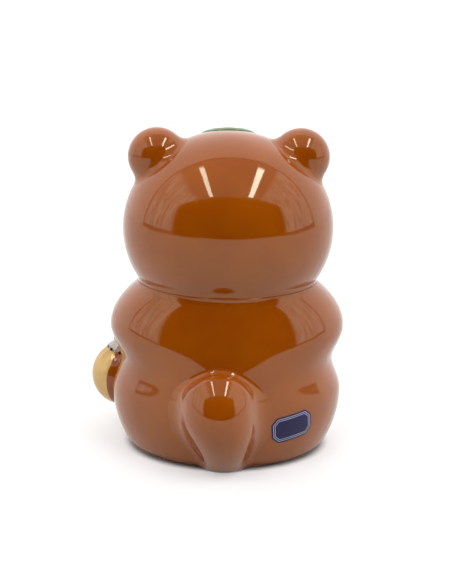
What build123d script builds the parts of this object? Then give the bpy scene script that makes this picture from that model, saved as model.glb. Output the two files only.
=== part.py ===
"""Seated tanuki ornament in glazed earthenware: hollow castings and sprigs luted together.

The figure sits upright on the table, facing -Y, with its own left side towards +X.
All sizes are millimetres.
"""
import math
import os

from build123d import *

# Clay and luted joints
WALL = 4.5
LUTING_DEPTH = 1.5
FIT_GAP = 0.15

# Head, an ellipsoid that is widest from side to side
HEAD_HALF_WIDTH = 51.6
HEAD_RADIUS = 47.3
HEAD_CENTRE_HEIGHT = 109.0

# Neck crease between the head and the torso
NECK_HEIGHT = 83.0
NECK_FILLET = 1.6
NECK_ROOT_DEPTH = 3.0
LIP_HEIGHT = 3.0
LIP_WALL = 2.5

# Torso: half widths at the sides, reach to the back and reach to the front
RIM_HALF_WIDTH = 48.0
RIM_BACK = 47.0
RIM_FRONT = 46.0
HAUNCH_HEIGHT = 28.0
HAUNCH_HALF_WIDTH = 56.8
WAIST_HEIGHT = 44.0
WAIST_HALF_WIDTH = 52.6
ELBOW_HEIGHT = 60.0
ELBOW_HALF_WIDTH = 57.8
BACK_HEIGHT = 28.0
BACK_REACH = 51.0
BELLY_HEIGHT = 38.0
BELLY_REACH = 53.0
OUTSIDE_SECTIONS = 14
INSIDE_SECTIONS = 16

# Foot rim, recessed floor and the disc in its pour hole
RIM_WIDTH = 9.0
RIM_EDGE_FILLET = 5.0
FLOOR_RECESS = 2.0
POUR_HOLE_RADIUS = 20.0
DISC_RADIUS = 25.0
DISC_THICKNESS = 2.5
VENT_RADIUS = 4.0

# Ears
EAR_RADIUS = 14.2
EAR_HALF_DEPTH = 13.5
EAR_ANGLE = 45.0
EAR_FILLET = 3.0
EAR_DISH_RADIUS = 6.8
EAR_DISH_DEPTH = 3.0
EAR_DISH_TURN = 58.0

# Tail
TAIL_HALF_WIDTH = 18.8
TAIL_HALF_DEPTH = 19.0
TAIL_HALF_HEIGHT = 24.6
TAIL_CENTRE_HEIGHT = 26.2
TAIL_OFFSET = 2.0
TAIL_SINK = 0.5
TAIL_FILLET = 3.0

# Forearms and paws
ELBOW_RADIUS = 8.0
FOREARM_RADIUS = 12.1
WRIST_RADIUS = 10.2
PAW_RADIUS = 11.2
ELBOW_ANGLE = 80.0
ELBOW_SINK = 15.0
FOREARM_SINK = 5.0
PAW_SINK = 1.0
LEFT_PAW_HEIGHT = 51.0
LEFT_PAW_ANGLE = 47.0
RIGHT_PAW_HEIGHT = 53.0
RIGHT_PAW_ANGLE = 22.0

# Feet
SOLE_HALF_WIDTH = 13.5
SOLE_HALF_DEPTH = 13.0
SOLE_HALF_HEIGHT = 14.0
SOLE_ANGLE = 28.0
SOLE_SINK = 1.5
GLAZE_CLEARANCE = 0.8

# Face
MUZZLE_HALF_WIDTH = 17.0
MUZZLE_HALF_DEPTH = 13.0
MUZZLE_HALF_HEIGHT = 12.5
MUZZLE_DROP_ANGLE = 13.0
MUZZLE_SINK = 2.0
NOSE_HALF_WIDTH = 5.6
NOSE_HALF_DEPTH = 3.6
NOSE_HALF_HEIGHT = 4.0
NOSE_RISE_ANGLE = 34.0
EYE_RADIUS = 3.8
EYE_SPREAD_ANGLE = 20.0
EYE_RISE_ANGLE = 7.0
EYE_SINK = 1.6

# Leaf on the crown
LEAF_HALF_WIDTH = 14.5
LEAF_LENGTH = 31.0
LEAF_ROUND = 12.0
LEAF_REAR = 5.5
LEAF_THICKNESS = 1.6

# Money pouch
POUCH_RADIUS = 16.0
POUCH_HEIGHT = 28.0
POUCH_ANGLE = 70.0
POUCH_SINK = 0.6
POUCH_LEAN = 10.0
POUCH_NECK_RADIUS = 11.2
POUCH_TIE_RADIUS = 5.6
POUCH_TIE_HEIGHT = 18.0
POUCH_FRILL_RADIUS = 8.2
POUCH_FRILL_HEIGHT = 24.0
TIE_THICKNESS = 1.1


def ellipsoid(half_x, half_y, half_z, seam_turn=0):
    """An ellipsoid, with its surface seam turned about Z away from what is cut out of it."""
    return scale(Rot(0, 0, seam_turn) * Sphere(1), by=(half_x, half_y, half_z))


# Head and neck


def head_ellipsoid(grow=0.0):
    """The head's outside, grown or shrunk all over."""
    half_width = HEAD_HALF_WIDTH + grow
    radius = HEAD_RADIUS + grow
    return Pos(0, 0, HEAD_CENTRE_HEIGHT) * ellipsoid(half_width, radius, radius, seam_turn=90)


def head_point(side_angle, rise_angle):
    """A point on the head: side_angle from straight ahead towards +X, rise_angle above the level."""
    side = math.radians(side_angle)
    rise = math.radians(rise_angle)
    x = math.sin(side) * math.cos(rise)
    y = -math.cos(side) * math.cos(rise)
    z = math.sin(rise)
    length = 1 / math.hypot(x / HEAD_HALF_WIDTH, y / HEAD_RADIUS, z / HEAD_RADIUS)
    return Vector(0, 0, HEAD_CENTRE_HEIGHT) + Vector(x, y, z) * length


def neck_girth(grow=0.0):
    """Half width and reach of the head where the neck crease cuts it."""
    drop = HEAD_CENTRE_HEIGHT - NECK_HEIGHT
    share = math.sqrt(1 - (drop / (HEAD_RADIUS + grow)) ** 2)
    return (HEAD_HALF_WIDTH + grow) * share, (HEAD_RADIUS + grow) * share


# Torso


def fall_off(top_value, end_value, top, end, height):
    """A value that falls along a parabola from its top to its end, and straight on past the end."""
    share = (height - top) / (end - top)
    fall = share**2 if share < 1 else 2 * share - 1
    return top_value - (top_value - end_value) * fall


def ease(first_value, last_value, first, last, height):
    """A value that steps smoothly from one to another, level at both ends."""
    share = (height - first) / (last - first)
    return first_value + (last_value - first_value) * share**2 * (3 - 2 * share)


def swell(rim_value, top_value, neck_value, top, height):
    """A reach that swells from the rim to its top and falls away to the neck."""
    if height < top:
        return fall_off(top_value, rim_value, top, 0, height)
    return fall_off(top_value, neck_value, top, NECK_HEIGHT, height)


def torso_girth(height):
    """Half width, reach to the back and reach to the front of the torso at a height."""
    neck_half_width, neck_reach = neck_girth()
    back = swell(RIM_BACK, BACK_REACH, neck_reach, BACK_HEIGHT, height)
    front = swell(RIM_FRONT, BELLY_REACH, neck_reach, BELLY_HEIGHT, height)
    if height < HAUNCH_HEIGHT:
        half_width = fall_off(HAUNCH_HALF_WIDTH, RIM_HALF_WIDTH, HAUNCH_HEIGHT, 0, height)
    elif height < WAIST_HEIGHT:
        half_width = ease(HAUNCH_HALF_WIDTH, WAIST_HALF_WIDTH, HAUNCH_HEIGHT, WAIST_HEIGHT, height)
    elif height < ELBOW_HEIGHT:
        half_width = ease(WAIST_HALF_WIDTH, ELBOW_HALF_WIDTH, WAIST_HEIGHT, ELBOW_HEIGHT, height)
    else:
        half_width = fall_off(ELBOW_HALF_WIDTH, neck_half_width, ELBOW_HEIGHT, NECK_HEIGHT, height)
    return half_width, back, front


def torso_section(height, shrink):
    """A level oval of four quarter arcs, inside the torso's girth by the shrink."""
    half_width, back, front = torso_girth(height)
    round_face = make_face([CenterArc((0, 0), 1, 90 * quarter, 90) for quarter in range(4)])
    oval = scale(round_face, by=(half_width - shrink, (back + front) / 2 - shrink, 1))
    return Pos(0, (back - front) / 2, height) * oval


def torso_solid(shrink=0.0):
    """The torso's outside, or its inside at a wall's distance, up into the head and cut off at the table."""
    count = INSIDE_SECTIONS if shrink else OUTSIDE_SECTIONS
    step = (NECK_HEIGHT + NECK_ROOT_DEPTH) / (count - 2)
    uncut = loft([torso_section(step * (place - 1), shrink) for place in range(count)])
    return split(uncut, Plane.XY, keep=Keep.TOP)


def torso_point(height, angle, sink=0.0):
    """A point on the torso: angle from straight ahead towards +X, sunk below the surface."""
    half_width, back, front = torso_girth(height)
    turn = math.radians(angle)
    reach = 1 / math.hypot(math.sin(turn) / half_width, 2 * math.cos(turn) / (back + front)) - sink
    return Vector(reach * math.sin(turn), (back - front) / 2 - reach * math.cos(turn), height)


def lute(body, piece, radius, tool):
    """Join a piece to a body with a rounded seam, then part them again along the tool."""
    joined = body + piece
    rounded = fillet(new_edges(body, piece, combined=joined), radius)
    return rounded - tool, rounded & tool


# Ears


def ear_centre(side):
    return head_point(side * 90, EAR_ANGLE)


def ear_socket(side):
    """The space that an ear takes: a round plug let into the head by the luting depth."""
    centre = Vector(0, 0, HEAD_CENTRE_HEIGHT)
    outwards = ear_centre(side) - centre
    plug_plane = Plane(origin=centre, z_dir=outwards)
    plug_length = outwards.length + 2 * (EAR_RADIUS + EAR_FILLET)
    plug = extrude(plug_plane * Circle(EAR_RADIUS + EAR_FILLET), plug_length)
    return plug - head_ellipsoid(-LUTING_DEPTH)


def ear_ball(side):
    ball = ellipsoid(EAR_RADIUS, EAR_HALF_DEPTH, EAR_RADIUS)
    return Pos(ear_centre(side)) * ball


def ear_dish(side):
    """The hollow in the open front of an ear: a lens that lies square to the ear's surface."""
    outwards = (ear_centre(side) - Vector(0, 0, HEAD_CENTRE_HEIGHT)).normalized()
    turn = math.radians(EAR_DISH_TURN)
    facing = outwards * math.cos(turn) + Vector(0, -1, 0) * math.sin(turn)
    reach = Vector(facing.X * EAR_RADIUS, facing.Y * EAR_HALF_DEPTH, facing.Z * EAR_RADIUS)
    lens = ellipsoid(EAR_DISH_RADIUS, EAR_DISH_RADIUS, EAR_DISH_DEPTH)
    return Plane(origin=ear_centre(side) + reach, z_dir=facing) * lens


# Tail


def tail_centre():
    return Vector(TAIL_OFFSET, BACK_REACH - TAIL_SINK, TAIL_CENTRE_HEIGHT)


def tail_plump():
    return Pos(tail_centre()) * ellipsoid(TAIL_HALF_WIDTH, TAIL_HALF_DEPTH, TAIL_HALF_HEIGHT)


def tail_socket():
    """The space that the tail takes: an oval plug let into the back by the luting depth."""
    oval = Ellipse(TAIL_HALF_WIDTH + TAIL_FILLET, TAIL_HALF_HEIGHT + TAIL_FILLET)
    plug_plane = Plane(origin=(TAIL_OFFSET, 0, TAIL_CENTRE_HEIGHT), x_dir=(1, 0, 0), z_dir=(0, 1, 0))
    plug = extrude(plug_plane * oval, tail_centre().Y + 2 * TAIL_HALF_DEPTH)
    return plug - torso_solid(LUTING_DEPTH)


# Forearms and paws


def arm(side, paw_height, paw_angle):
    """A forearm that follows the torso's surface from the elbow to a round paw."""
    middle_height = (ELBOW_HEIGHT + paw_height) / 2
    middle_angle = (ELBOW_ANGLE + paw_angle) / 2
    elbow = torso_point(ELBOW_HEIGHT, side * ELBOW_ANGLE, ELBOW_SINK)
    middle = torso_point(middle_height, side * middle_angle, FOREARM_SINK)
    paw = torso_point(paw_height, side * paw_angle, PAW_SINK)
    path = Spline(elbow, middle, paw)
    sections = []
    for share, radius in ((0, ELBOW_RADIUS), (0.5, FOREARM_RADIUS), (1, WRIST_RADIUS)):
        sections.append(Plane(origin=path @ share, z_dir=path % share) * Circle(radius))
    return loft(sections) + Pos(paw) * Sphere(PAW_RADIUS)


# Feet


def foot(side):
    centre = torso_point(GLAZE_CLEARANCE + SOLE_HALF_HEIGHT, side * SOLE_ANGLE, SOLE_SINK)
    return Pos(centre) * ellipsoid(SOLE_HALF_WIDTH, SOLE_HALF_DEPTH, SOLE_HALF_HEIGHT)


# Face


def muzzle_centre():
    return head_point(0, -MUZZLE_DROP_ANGLE) + Vector(0, MUZZLE_SINK, 0)


def muzzle_ball():
    return Pos(muzzle_centre()) * ellipsoid(MUZZLE_HALF_WIDTH, MUZZLE_HALF_DEPTH, MUZZLE_HALF_HEIGHT)


def nose_ball():
    rise = math.radians(NOSE_RISE_ANGLE)
    tip = Vector(0, -MUZZLE_HALF_DEPTH * math.cos(rise), MUZZLE_HALF_HEIGHT * math.sin(rise))
    return Pos(muzzle_centre() + tip) * ellipsoid(NOSE_HALF_WIDTH, NOSE_HALF_DEPTH, NOSE_HALF_HEIGHT)


def eye_ball(side):
    surface = head_point(side * EYE_SPREAD_ANGLE, EYE_RISE_ANGLE)
    return Pos(surface + Vector(0, EYE_SINK, 0)) * Sphere(EYE_RADIUS)


# Leaf


def leaf_plate():
    """A broad leaf, round at the rear and pointed in front, that follows the crown."""
    middle = -LEAF_REAR - LEAF_ROUND
    tip = (0, -LEAF_REAR - LEAF_LENGTH)
    round_end = EllipticalCenterArc((0, middle), LEAF_HALF_WIDTH, LEAF_ROUND, start_angle=0, arc_size=180)
    sides = [TangentArc((side * LEAF_HALF_WIDTH, middle), tip, tangent=(0, -1)) for side in (-1, 1)]
    outline = Pos(0, 0, HEAD_CENTRE_HEIGHT) * make_face([round_end, *sides])
    column = extrude(outline, HEAD_RADIUS + 2 * LEAF_THICKNESS)
    return column & head_ellipsoid(LEAF_THICKNESS) - head_ellipsoid()


# Money pouch


def pouch_frame():
    """The pouch's own axes: its centre on the haunch, its neck leaning towards the body."""
    centre = torso_point(POUCH_HEIGHT, POUCH_ANGLE, POUCH_SINK)
    return Pos(centre) * Rot(0, -POUCH_LEAN, 0)


def pouch_shoulder():
    return math.sqrt(POUCH_RADIUS**2 - POUCH_NECK_RADIUS**2)


def pouch_ball():
    ball = split(Sphere(POUCH_RADIUS), Plane.XY.offset(pouch_shoulder()), keep=Keep.BOTTOM)
    return pouch_frame() * ball


def pouch_gather():
    """The gathered neck: it narrows from the shoulder to the tie, then opens into a frill."""
    shoulder = (POUCH_NECK_RADIUS, pouch_shoulder())
    waist = (POUCH_TIE_RADIUS, POUCH_TIE_HEIGHT)
    frill = (POUCH_FRILL_RADIUS, POUCH_FRILL_HEIGHT)
    edge = Spline(shoulder, waist, frill)
    top = Line(frill, (0, POUCH_FRILL_HEIGHT))
    axis_line = Line((0, POUCH_FRILL_HEIGHT), (0, pouch_shoulder()))
    bottom = Line((0, pouch_shoulder()), shoulder)
    profile = Plane.XZ * make_face([edge, top, axis_line, bottom])
    return pouch_frame() * revolve(profile, axis=Axis.Z, revolution_arc=360)


def pouch_room():
    """The room that the gathered neck takes under the forearm, as wide as its frill all the way down."""
    return pouch_frame() * extrude(Circle(POUCH_FRILL_RADIUS), POUCH_FRILL_HEIGHT)


def pouch_ring():
    return pouch_frame() * Pos(0, 0, POUCH_TIE_HEIGHT) * Torus(POUCH_TIE_RADIUS, TIE_THICKNESS)


# Shells


def slab_between(low, high):
    """A slab wider than the figure, from one level to another."""
    width = 4 * HEAD_HALF_WIDTH
    return Pos(0, 0, (low + high) / 2) * Box(width, width, high - low)


def level_ellipse(half_width, reach, low, high):
    return extrude(Pos(0, 0, low) * Ellipse(half_width, reach), high - low)


def disc(radius, low, high):
    return extrude(Pos(0, 0, low) * Circle(radius), high - low)


def hollow_torso(outside):
    """The torso casting: wall, recessed floor with its pour hole, and the lip that carries the head."""
    floor_top = FLOOR_RECESS + WALL
    lip_base = NECK_HEIGHT - LIP_HEIGHT
    lip_top = NECK_HEIGHT + LIP_HEIGHT
    inner_half_width, inner_reach = neck_girth(-WALL)
    lip_half_width = inner_half_width - FIT_GAP
    lip_reach = inner_reach - FIT_GAP
    lip = level_ellipse(lip_half_width, lip_reach, NECK_HEIGHT, lip_top)
    mouth = level_ellipse(lip_half_width - LIP_WALL, lip_reach - LIP_WALL, lip_base, lip_top)
    cavity = torso_solid(WALL) & slab_between(floor_top, lip_base)
    recess = extrude(torso_section(0, RIM_WIDTH), FLOOR_RECESS)
    seat = disc(DISC_RADIUS + FIT_GAP, 0, FLOOR_RECESS + DISC_THICKNESS)
    pour_hole = disc(POUR_HOLE_RADIUS, 0, floor_top)
    return outside + lip - mouth - cavity - recess - seat - pour_hole


def base_disc():
    top = FLOOR_RECESS + DISC_THICKNESS
    return disc(DISC_RADIUS, FLOOR_RECESS, top) - disc(VENT_RADIUS, FLOOR_RECESS, top)


def build():
    """Every piece of the figure by name, about the middle of the head."""
    nodes = {}
    head_outside = head_ellipsoid()
    torso_outside = torso_solid()
    torso_outside = fillet(torso_outside.faces().sort_by(Axis.Z)[0].edges(), RIM_EDGE_FILLET)
    head_body = head_outside
    for name, side in (("left_ear", 1), ("right_ear", -1)):
        head_body, ear = lute(head_body, ear_ball(side), EAR_FILLET, ear_socket(side))
        nodes[name] = ear - ear_dish(side)
    torso_body, nodes["tail"] = lute(torso_outside, tail_plump(), TAIL_FILLET, tail_socket())
    figure = head_body + torso_body
    figure = fillet(new_edges(head_body, torso_body, combined=figure), NECK_FILLET)
    neck_plane = Plane.XY.offset(NECK_HEIGHT)
    nodes["head_shell"] = split(figure, neck_plane, keep=Keep.TOP) - head_ellipsoid(-WALL)
    nodes["torso_shell"] = hollow_torso(split(figure, neck_plane, keep=Keep.BOTTOM))
    nodes["base_disc"] = base_disc()

    nodes["pouch_body"] = pouch_ball() - torso_outside
    nodes["pouch_neck"] = pouch_gather() - torso_outside
    nodes["pouch_tie"] = pouch_ring() - torso_outside - nodes["pouch_neck"]
    left_arm = arm(1, LEFT_PAW_HEIGHT, LEFT_PAW_ANGLE) - torso_outside - pouch_room()
    for piece in ("pouch_body", "pouch_neck", "pouch_tie"):
        left_arm = left_arm - nodes[piece]
    nodes["left_arm"] = left_arm
    nodes["right_arm"] = arm(-1, RIGHT_PAW_HEIGHT, RIGHT_PAW_ANGLE) - torso_outside
    nodes["muzzle"] = muzzle_ball() - head_outside - torso_outside
    nodes["nose"] = nose_ball() - muzzle_ball() - head_outside - torso_outside
    for name, side in (("left", 1), ("right", -1)):
        nodes[f"{name}_foot"] = foot(side) - torso_outside
        nodes[f"{name}_eye"] = eye_ball(side) - head_outside
    nodes["leaf"] = leaf_plate()
    return nodes


def stand_on_origin(nodes):
    """Move every piece so that the figure stands on the origin, centred in its own box."""
    boxes = [shape.bounding_box() for shape in nodes.values()]
    middle_x = (min(box.min.X for box in boxes) + max(box.max.X for box in boxes)) / 2
    middle_y = (min(box.min.Y for box in boxes) + max(box.max.Y for box in boxes)) / 2
    return {name: Pos(-middle_x, -middle_y, 0) * shape for name, shape in nodes.items()}


os.makedirs("parts", exist_ok=True)
for node, shape in stand_on_origin(build()).items():
    export_step(shape, f"parts/{node}.step")
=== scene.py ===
"""Glazed skins, label and photo tent of a seated tanuki ornament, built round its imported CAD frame.

The figure looks towards -Y, its own left side is at +X, and everything is in metres.
"""
import math

import bmesh
import bpy
import numpy as np
from bpy.props import FloatProperty, FloatVectorProperty, IntProperty, PointerProperty
from bpy.types import Operator, Panel, PropertyGroup
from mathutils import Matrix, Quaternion, Vector


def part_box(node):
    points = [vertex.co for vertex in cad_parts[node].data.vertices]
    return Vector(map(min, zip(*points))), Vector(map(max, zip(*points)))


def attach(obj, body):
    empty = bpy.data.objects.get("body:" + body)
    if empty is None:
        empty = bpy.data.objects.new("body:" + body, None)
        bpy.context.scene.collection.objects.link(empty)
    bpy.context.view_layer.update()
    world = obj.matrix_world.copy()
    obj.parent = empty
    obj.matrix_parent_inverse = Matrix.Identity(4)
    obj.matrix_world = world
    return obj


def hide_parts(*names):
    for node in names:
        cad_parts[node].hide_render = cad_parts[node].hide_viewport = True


bl_info = {
    "name": "Seated Tanuki Ornament",
    "version": (1, 0, 0),
    "blender": (4, 5, 0),
    "location": "View3D > Sidebar > Tanuki",
    "description": "Builds the glazed skins, the label and the photo tent of a seated ceramic tanuki",
    "category": "Object",
}

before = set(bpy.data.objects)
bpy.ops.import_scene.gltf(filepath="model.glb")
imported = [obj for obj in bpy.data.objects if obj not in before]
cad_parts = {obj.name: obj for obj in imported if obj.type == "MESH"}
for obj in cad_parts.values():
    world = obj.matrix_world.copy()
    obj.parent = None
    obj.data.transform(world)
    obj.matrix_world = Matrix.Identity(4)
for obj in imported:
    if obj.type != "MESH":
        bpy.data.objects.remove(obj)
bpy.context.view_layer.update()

# The head's ellipsoid, as high as it is deep, and the neck crease, read from the frame
HEAD_LOW, HEAD_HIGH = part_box("head_shell")
HEAD_HALF = np.array(
    ((HEAD_HIGH.x - HEAD_LOW.x) / 2, (HEAD_HIGH.y - HEAD_LOW.y) / 2, (HEAD_HIGH.y - HEAD_LOW.y) / 2)
)
NECK_HEIGHT = HEAD_LOW.z
HEAD_CENTRE = np.array((0.0, 0.0, HEAD_HIGH.z - HEAD_HALF[2]))
FIGURE_PLACE = np.array(((HEAD_HIGH.x + HEAD_LOW.x) / 2, (HEAD_HIGH.y + HEAD_LOW.y) / 2, 0.0))

FORWARD = np.array((0.0, -1.0, 0.0))
UPWARD = np.array((0.0, 0.0, 1.0))
SIDEWAYS = np.array((1.0, 0.0, 0.0))
SIDES = (("left", 1), ("right", -1))

# How often a ray's span is halved to find a skin, and the shift that tells which way a skin faces
HALVINGS = 34
SHIFT = 1e-5
# Points nearer than the first become one, and no slope counts as less than the second
SAME_POINT = 1e-7
LEAST_SLOPE = 1e-9
# How far an edge is tucked under its parent, the shares of a seam's width over which that sets in, and the
# least height of a grown piece above the table
TUCK = 0.0003
TUCK_START, TUCK_FULL = 0.6, 1.1
TABLE_CLEARANCE = 0.0006
# How far the torso's form reaches up inside the head, and how far rays from the figure's middle are cast
NECK_ROOT = 0.003
BODY_REACH = 2 * HEAD_HALF[0]
# Gloss of an amber glaze: iron makes it bend light more and warms what it reflects
AMBER_IOR = 1.58
AMBER_TINT = (1.0, 1.0, 0.77, 1.0)
MILLIMETRE = 0.001


# Kinds of settings


def length(name, description, default):
    return FloatProperty(name=name, description=description, default=default, unit="LENGTH", precision=4)


def angle(name, description, degrees):
    return FloatProperty(name=name, description=description, default=math.radians(degrees), subtype="ANGLE")


def colour(name, description, default):
    return FloatVectorProperty(
        name=name, description=description, default=default, subtype="COLOR", size=3, min=0, max=1
    )


def amount(name, description, default):
    return FloatProperty(name=name, description=description, default=default, min=0)


def number(name, description, default, least):
    return IntProperty(name=name, description=description, default=default, min=least)


class TanukiForm(PropertyGroup):
    """Sizes of the figure's clay forms."""

    rim_half_width: length("Rim half width", "Half width of the torso at the table", 0.048)
    rim_back: length("Rim back", "Reach of the torso's rim to the back", 0.047)
    rim_front: length("Rim front", "Reach of the torso's rim to the front", 0.046)
    rim_width: length("Rim width", "Width of the bare foot rim", 0.009)
    rim_fillet: length("Rim rounding", "Rounding where the torso meets the table", 0.005)
    floor_recess: length("Floor recess", "Depth of the recessed floor", 0.002)
    haunch_height: length("Haunch height", "Height of the widest part of the haunches", 0.028)
    haunch_half_width: length("Haunch half width", "Half width at the haunches", 0.0568)
    waist_height: length("Waist height", "Height of the notch between haunch and arm", 0.044)
    waist_half_width: length("Waist half width", "Half width at the notch", 0.0526)
    elbow_height: length("Elbow height", "Height of the widest part of the upper arms", 0.060)
    elbow_half_width: length("Elbow half width", "Half width at the upper arms", 0.0578)
    back_height: length("Back height", "Height of the back's furthest reach", 0.028)
    back_reach: length("Back reach", "Furthest reach of the back", 0.051)
    belly_height: length("Belly height", "Height of the belly's furthest reach", 0.038)
    belly_reach: length("Belly reach", "Furthest reach of the belly", 0.053)
    neck_melt: length("Neck melt", "Width over which the neck crease is rounded", 0.004)
    ear_radius: length("Ear radius", "Radius of an ear", 0.0142)
    ear_half_depth: length("Ear half depth", "Half depth of an ear", 0.0135)
    ear_angle: angle("Ear angle", "Rise of the ears above the head's level", 45)
    ear_melt: length("Ear melt", "Width over which an ear's root is rounded", 0.0045)
    dish_radius: length("Dish radius", "Radius of the hollow in an ear", 0.0085)
    dish_depth: length("Dish depth", "Depth of the hollow in an ear", 0.0036)
    dish_turn: angle("Dish turn", "Turn of the ear's hollow towards the front", 58)
    tail_half_width: length("Tail half width", "Half width of the tail's plump middle", 0.019)
    tail_low_half_width: length("Tail low half width", "Half width of the tail at the table", 0.0103)
    tail_reach: length("Tail reach", "Depth of the tail behind its spine", 0.027)
    tail_low_reach: length("Tail low reach", "Depth of the tail behind its spine at the table", 0.009)
    tail_height: length("Tail height", "Height of the tail's furthest reach", 0.028)
    tail_rise: length("Tail rise", "Height of the dome above the furthest reach", 0.0275)
    tail_top: length("Tail top", "Height of the crest above the table", 0.0512)
    tail_crown_radius: length("Tail crown radius", "Radius of the crest seen from behind", 0.017)
    tail_crest: length("Tail crest", "Distance of the crest behind the spine", 0.0166)
    tail_dip: amount("Tail dip", "Slope of the top from the crest to the back", 0.28)
    tail_sink: length("Tail sink", "Depth of the tail's spine below the back", 0.0085)
    tail_offset: length("Tail offset", "Place of the tail's foot beside the middle", 0.002)
    tail_lean: length("Tail lean", "How far the tail's top leans to its own left", 0.0028)
    tail_melt: length("Tail melt", "Width over which the tail's foot and top are rounded", 0.0042)
    tail_soft_melt: length("Tail soft melt", "Width over which the tail's sides are rounded", 0.008)
    elbow_radius: length("Elbow radius", "Radius of a forearm's root inside the torso", 0.008)
    forearm_radius: length("Forearm radius", "Radius of a forearm half way along", 0.0121)
    wrist_radius: length("Wrist radius", "Radius of a forearm at the wrist", 0.0102)
    paw_radius: length("Paw radius", "Radius of a paw", 0.0112)
    elbow_angle: angle("Elbow angle", "Turn of the elbow from straight ahead", 80)
    elbow_sink: length("Elbow sink", "Depth of the elbow below the torso's skin", 0.015)
    forearm_sink: length("Forearm sink", "Depth of the forearm's middle below the skin", 0.005)
    paw_sink: length("Paw sink", "Depth of a paw's middle below the skin", 0.001)
    limb_melt: length("Limb melt", "Width over which limbs are rounded into the torso", 0.005)
    sole_half_width: length("Sole half width", "Half width of a foot", 0.0135)
    sole_half_depth: length("Sole half depth", "Half depth of a foot", 0.013)
    sole_half_height: length("Sole half height", "Half height of a foot", 0.014)
    sole_angle: angle("Sole angle", "Turn of a foot from straight ahead", 28)
    sole_sink: length("Sole sink", "Depth of a foot's middle below the skin", 0.0015)
    sole_clearance: length("Sole clearance", "Height of the feet above the table", 0.0008)
    muzzle_half_width: length("Muzzle half width", "Half width of the muzzle", 0.017)
    muzzle_half_depth: length("Muzzle half depth", "Half depth of the muzzle", 0.013)
    muzzle_half_height: length("Muzzle half height", "Half height of the muzzle", 0.0125)
    muzzle_drop: angle("Muzzle drop", "Drop of the muzzle below the head's level", 13)
    muzzle_sink: length("Muzzle sink", "Depth of the muzzle's middle below the face", 0.002)
    muzzle_melt: length("Muzzle melt", "Width over which the muzzle is rounded into the face", 0.004)
    nose_rise: angle("Nose rise", "Rise of the nose on the muzzle", 34)
    eye_radius: length("Eye radius", "Radius of an eye", 0.0038)
    eye_spread: angle("Eye spread", "Turn of an eye from straight ahead", 20)
    eye_rise: angle("Eye rise", "Rise of the eyes above the head's level", 7)
    eye_sink: length("Eye sink", "Depth of an eye's middle below the face", 0.0016)


class TanukiTrim(PropertyGroup):
    """Sizes of the leaf, the pouch and the label."""

    leaf_half_width: length("Leaf half width", "Half width of the leaf", 0.0145)
    leaf_length: length("Leaf length", "Length of the leaf", 0.031)
    leaf_round: length("Leaf round", "Length of the leaf's round rear end", 0.012)
    leaf_rear: length("Leaf rear", "Distance of the leaf's rear edge from the crown", 0.0055)
    leaf_thickness: length("Leaf thickness", "Thickness of the leaf", 0.0016)
    vein_spacing: length("Vein spacing", "Distance between the leaf's side veins", 0.0052)
    pouch_radius: length("Pouch radius", "Radius of the pouch", 0.0160)
    pouch_height: length("Pouch height", "Height of the pouch's middle", 0.0280)
    pouch_angle: angle("Pouch angle", "Turn of the pouch from straight ahead", 70)
    pouch_sink: length("Pouch sink", "Depth of the pouch's middle below the haunch", 0.0006)
    pouch_lean: angle("Pouch lean", "Lean of the pouch's neck towards the body", 10)
    pouch_neck_radius: length("Pouch shoulder", "Radius where the pouch's neck begins", 0.0096)
    pouch_tie_radius: length("Tie radius", "Radius of the neck under the tie", 0.0056)
    pouch_tie_height: length("Tie height", "Height of the tie above the pouch's middle", 0.018)
    pouch_frill_radius: length("Frill radius", "Radius of the frill above the tie", 0.0064)
    pouch_frill_height: length("Frill height", "Height of the frill above the pouch's middle", 0.024)
    pleats: number("Pleats", "Pleats round the pouch's neck", 14, 3)
    pleat_depth: length("Pleat depth", "Depth of the pleats", 0.0007)
    strand_radius: length("Strand radius", "Radius of one strand of the tie", 0.0007)
    strand_twists: number("Twists", "Turns of the strands round the tie", 11, 1)
    stitch_count: number("Seam dots", "Dark dots along the pouch's seam", 22, 3)
    stitch_radius: length("Seam dot radius", "Radius of a dark dot", 0.00075)
    label_half_width: length("Label half width", "Half width of the label", 0.0113)
    label_half_height: length("Label half height", "Half height of the label", 0.0066)
    label_corner: length("Label corner", "Cut of the label's corners", 0.0032)
    label_thickness: length("Label thickness", "Thickness of the label", 0.00018)
    label_side: length("Label side", "Place of the label beside the middle", -0.0309)
    label_height: length("Label height", "Height of the label's middle", 0.0204)
    label_tilt: angle("Label tilt", "Tilt of the label on the haunch", 7)


class TanukiColours(PropertyGroup):
    """Colours of the glazes, the clay and the label."""

    brown: colour("Brown glaze", "Body glaze", (0.345, 0.073, 0.0008))
    brown_deep: colour("Deep brown glaze", "Body glaze where it pools", (0.300, 0.059, 0.0006))
    mask: colour("Mask glaze", "Dark glaze round the eyes", (0.045, 0.014, 0.006))
    cream: colour("Cream glaze", "Muzzle, belly and soles", (0.78, 0.62, 0.40))
    black: colour("Black glaze", "Eyes and nose", (0.012, 0.009, 0.008))
    green: colour("Green glaze", "Leaf", (0.17, 0.29, 0.17))
    green_pale: colour("Pale green glaze", "Leaf veins where the glaze is thin", (0.36, 0.50, 0.34))
    gold: colour("Gold lustre", "Pouch", (0.57, 0.37, 0.150))
    white: colour("White glaze", "Neck of the pouch", (0.66, 0.60, 0.52))
    tie: colour("Tie glaze", "Tie and seam of the pouch", (0.06, 0.022, 0.018))
    clay: colour("Bare clay", "Foot rim and base disc", (0.62, 0.46, 0.33))
    navy: colour("Navy paper", "Ground of the label", (0.010, 0.007, 0.060))
    lavender: colour("Pale border", "Lines along the label's edge", (0.60, 0.58, 0.74))


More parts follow.
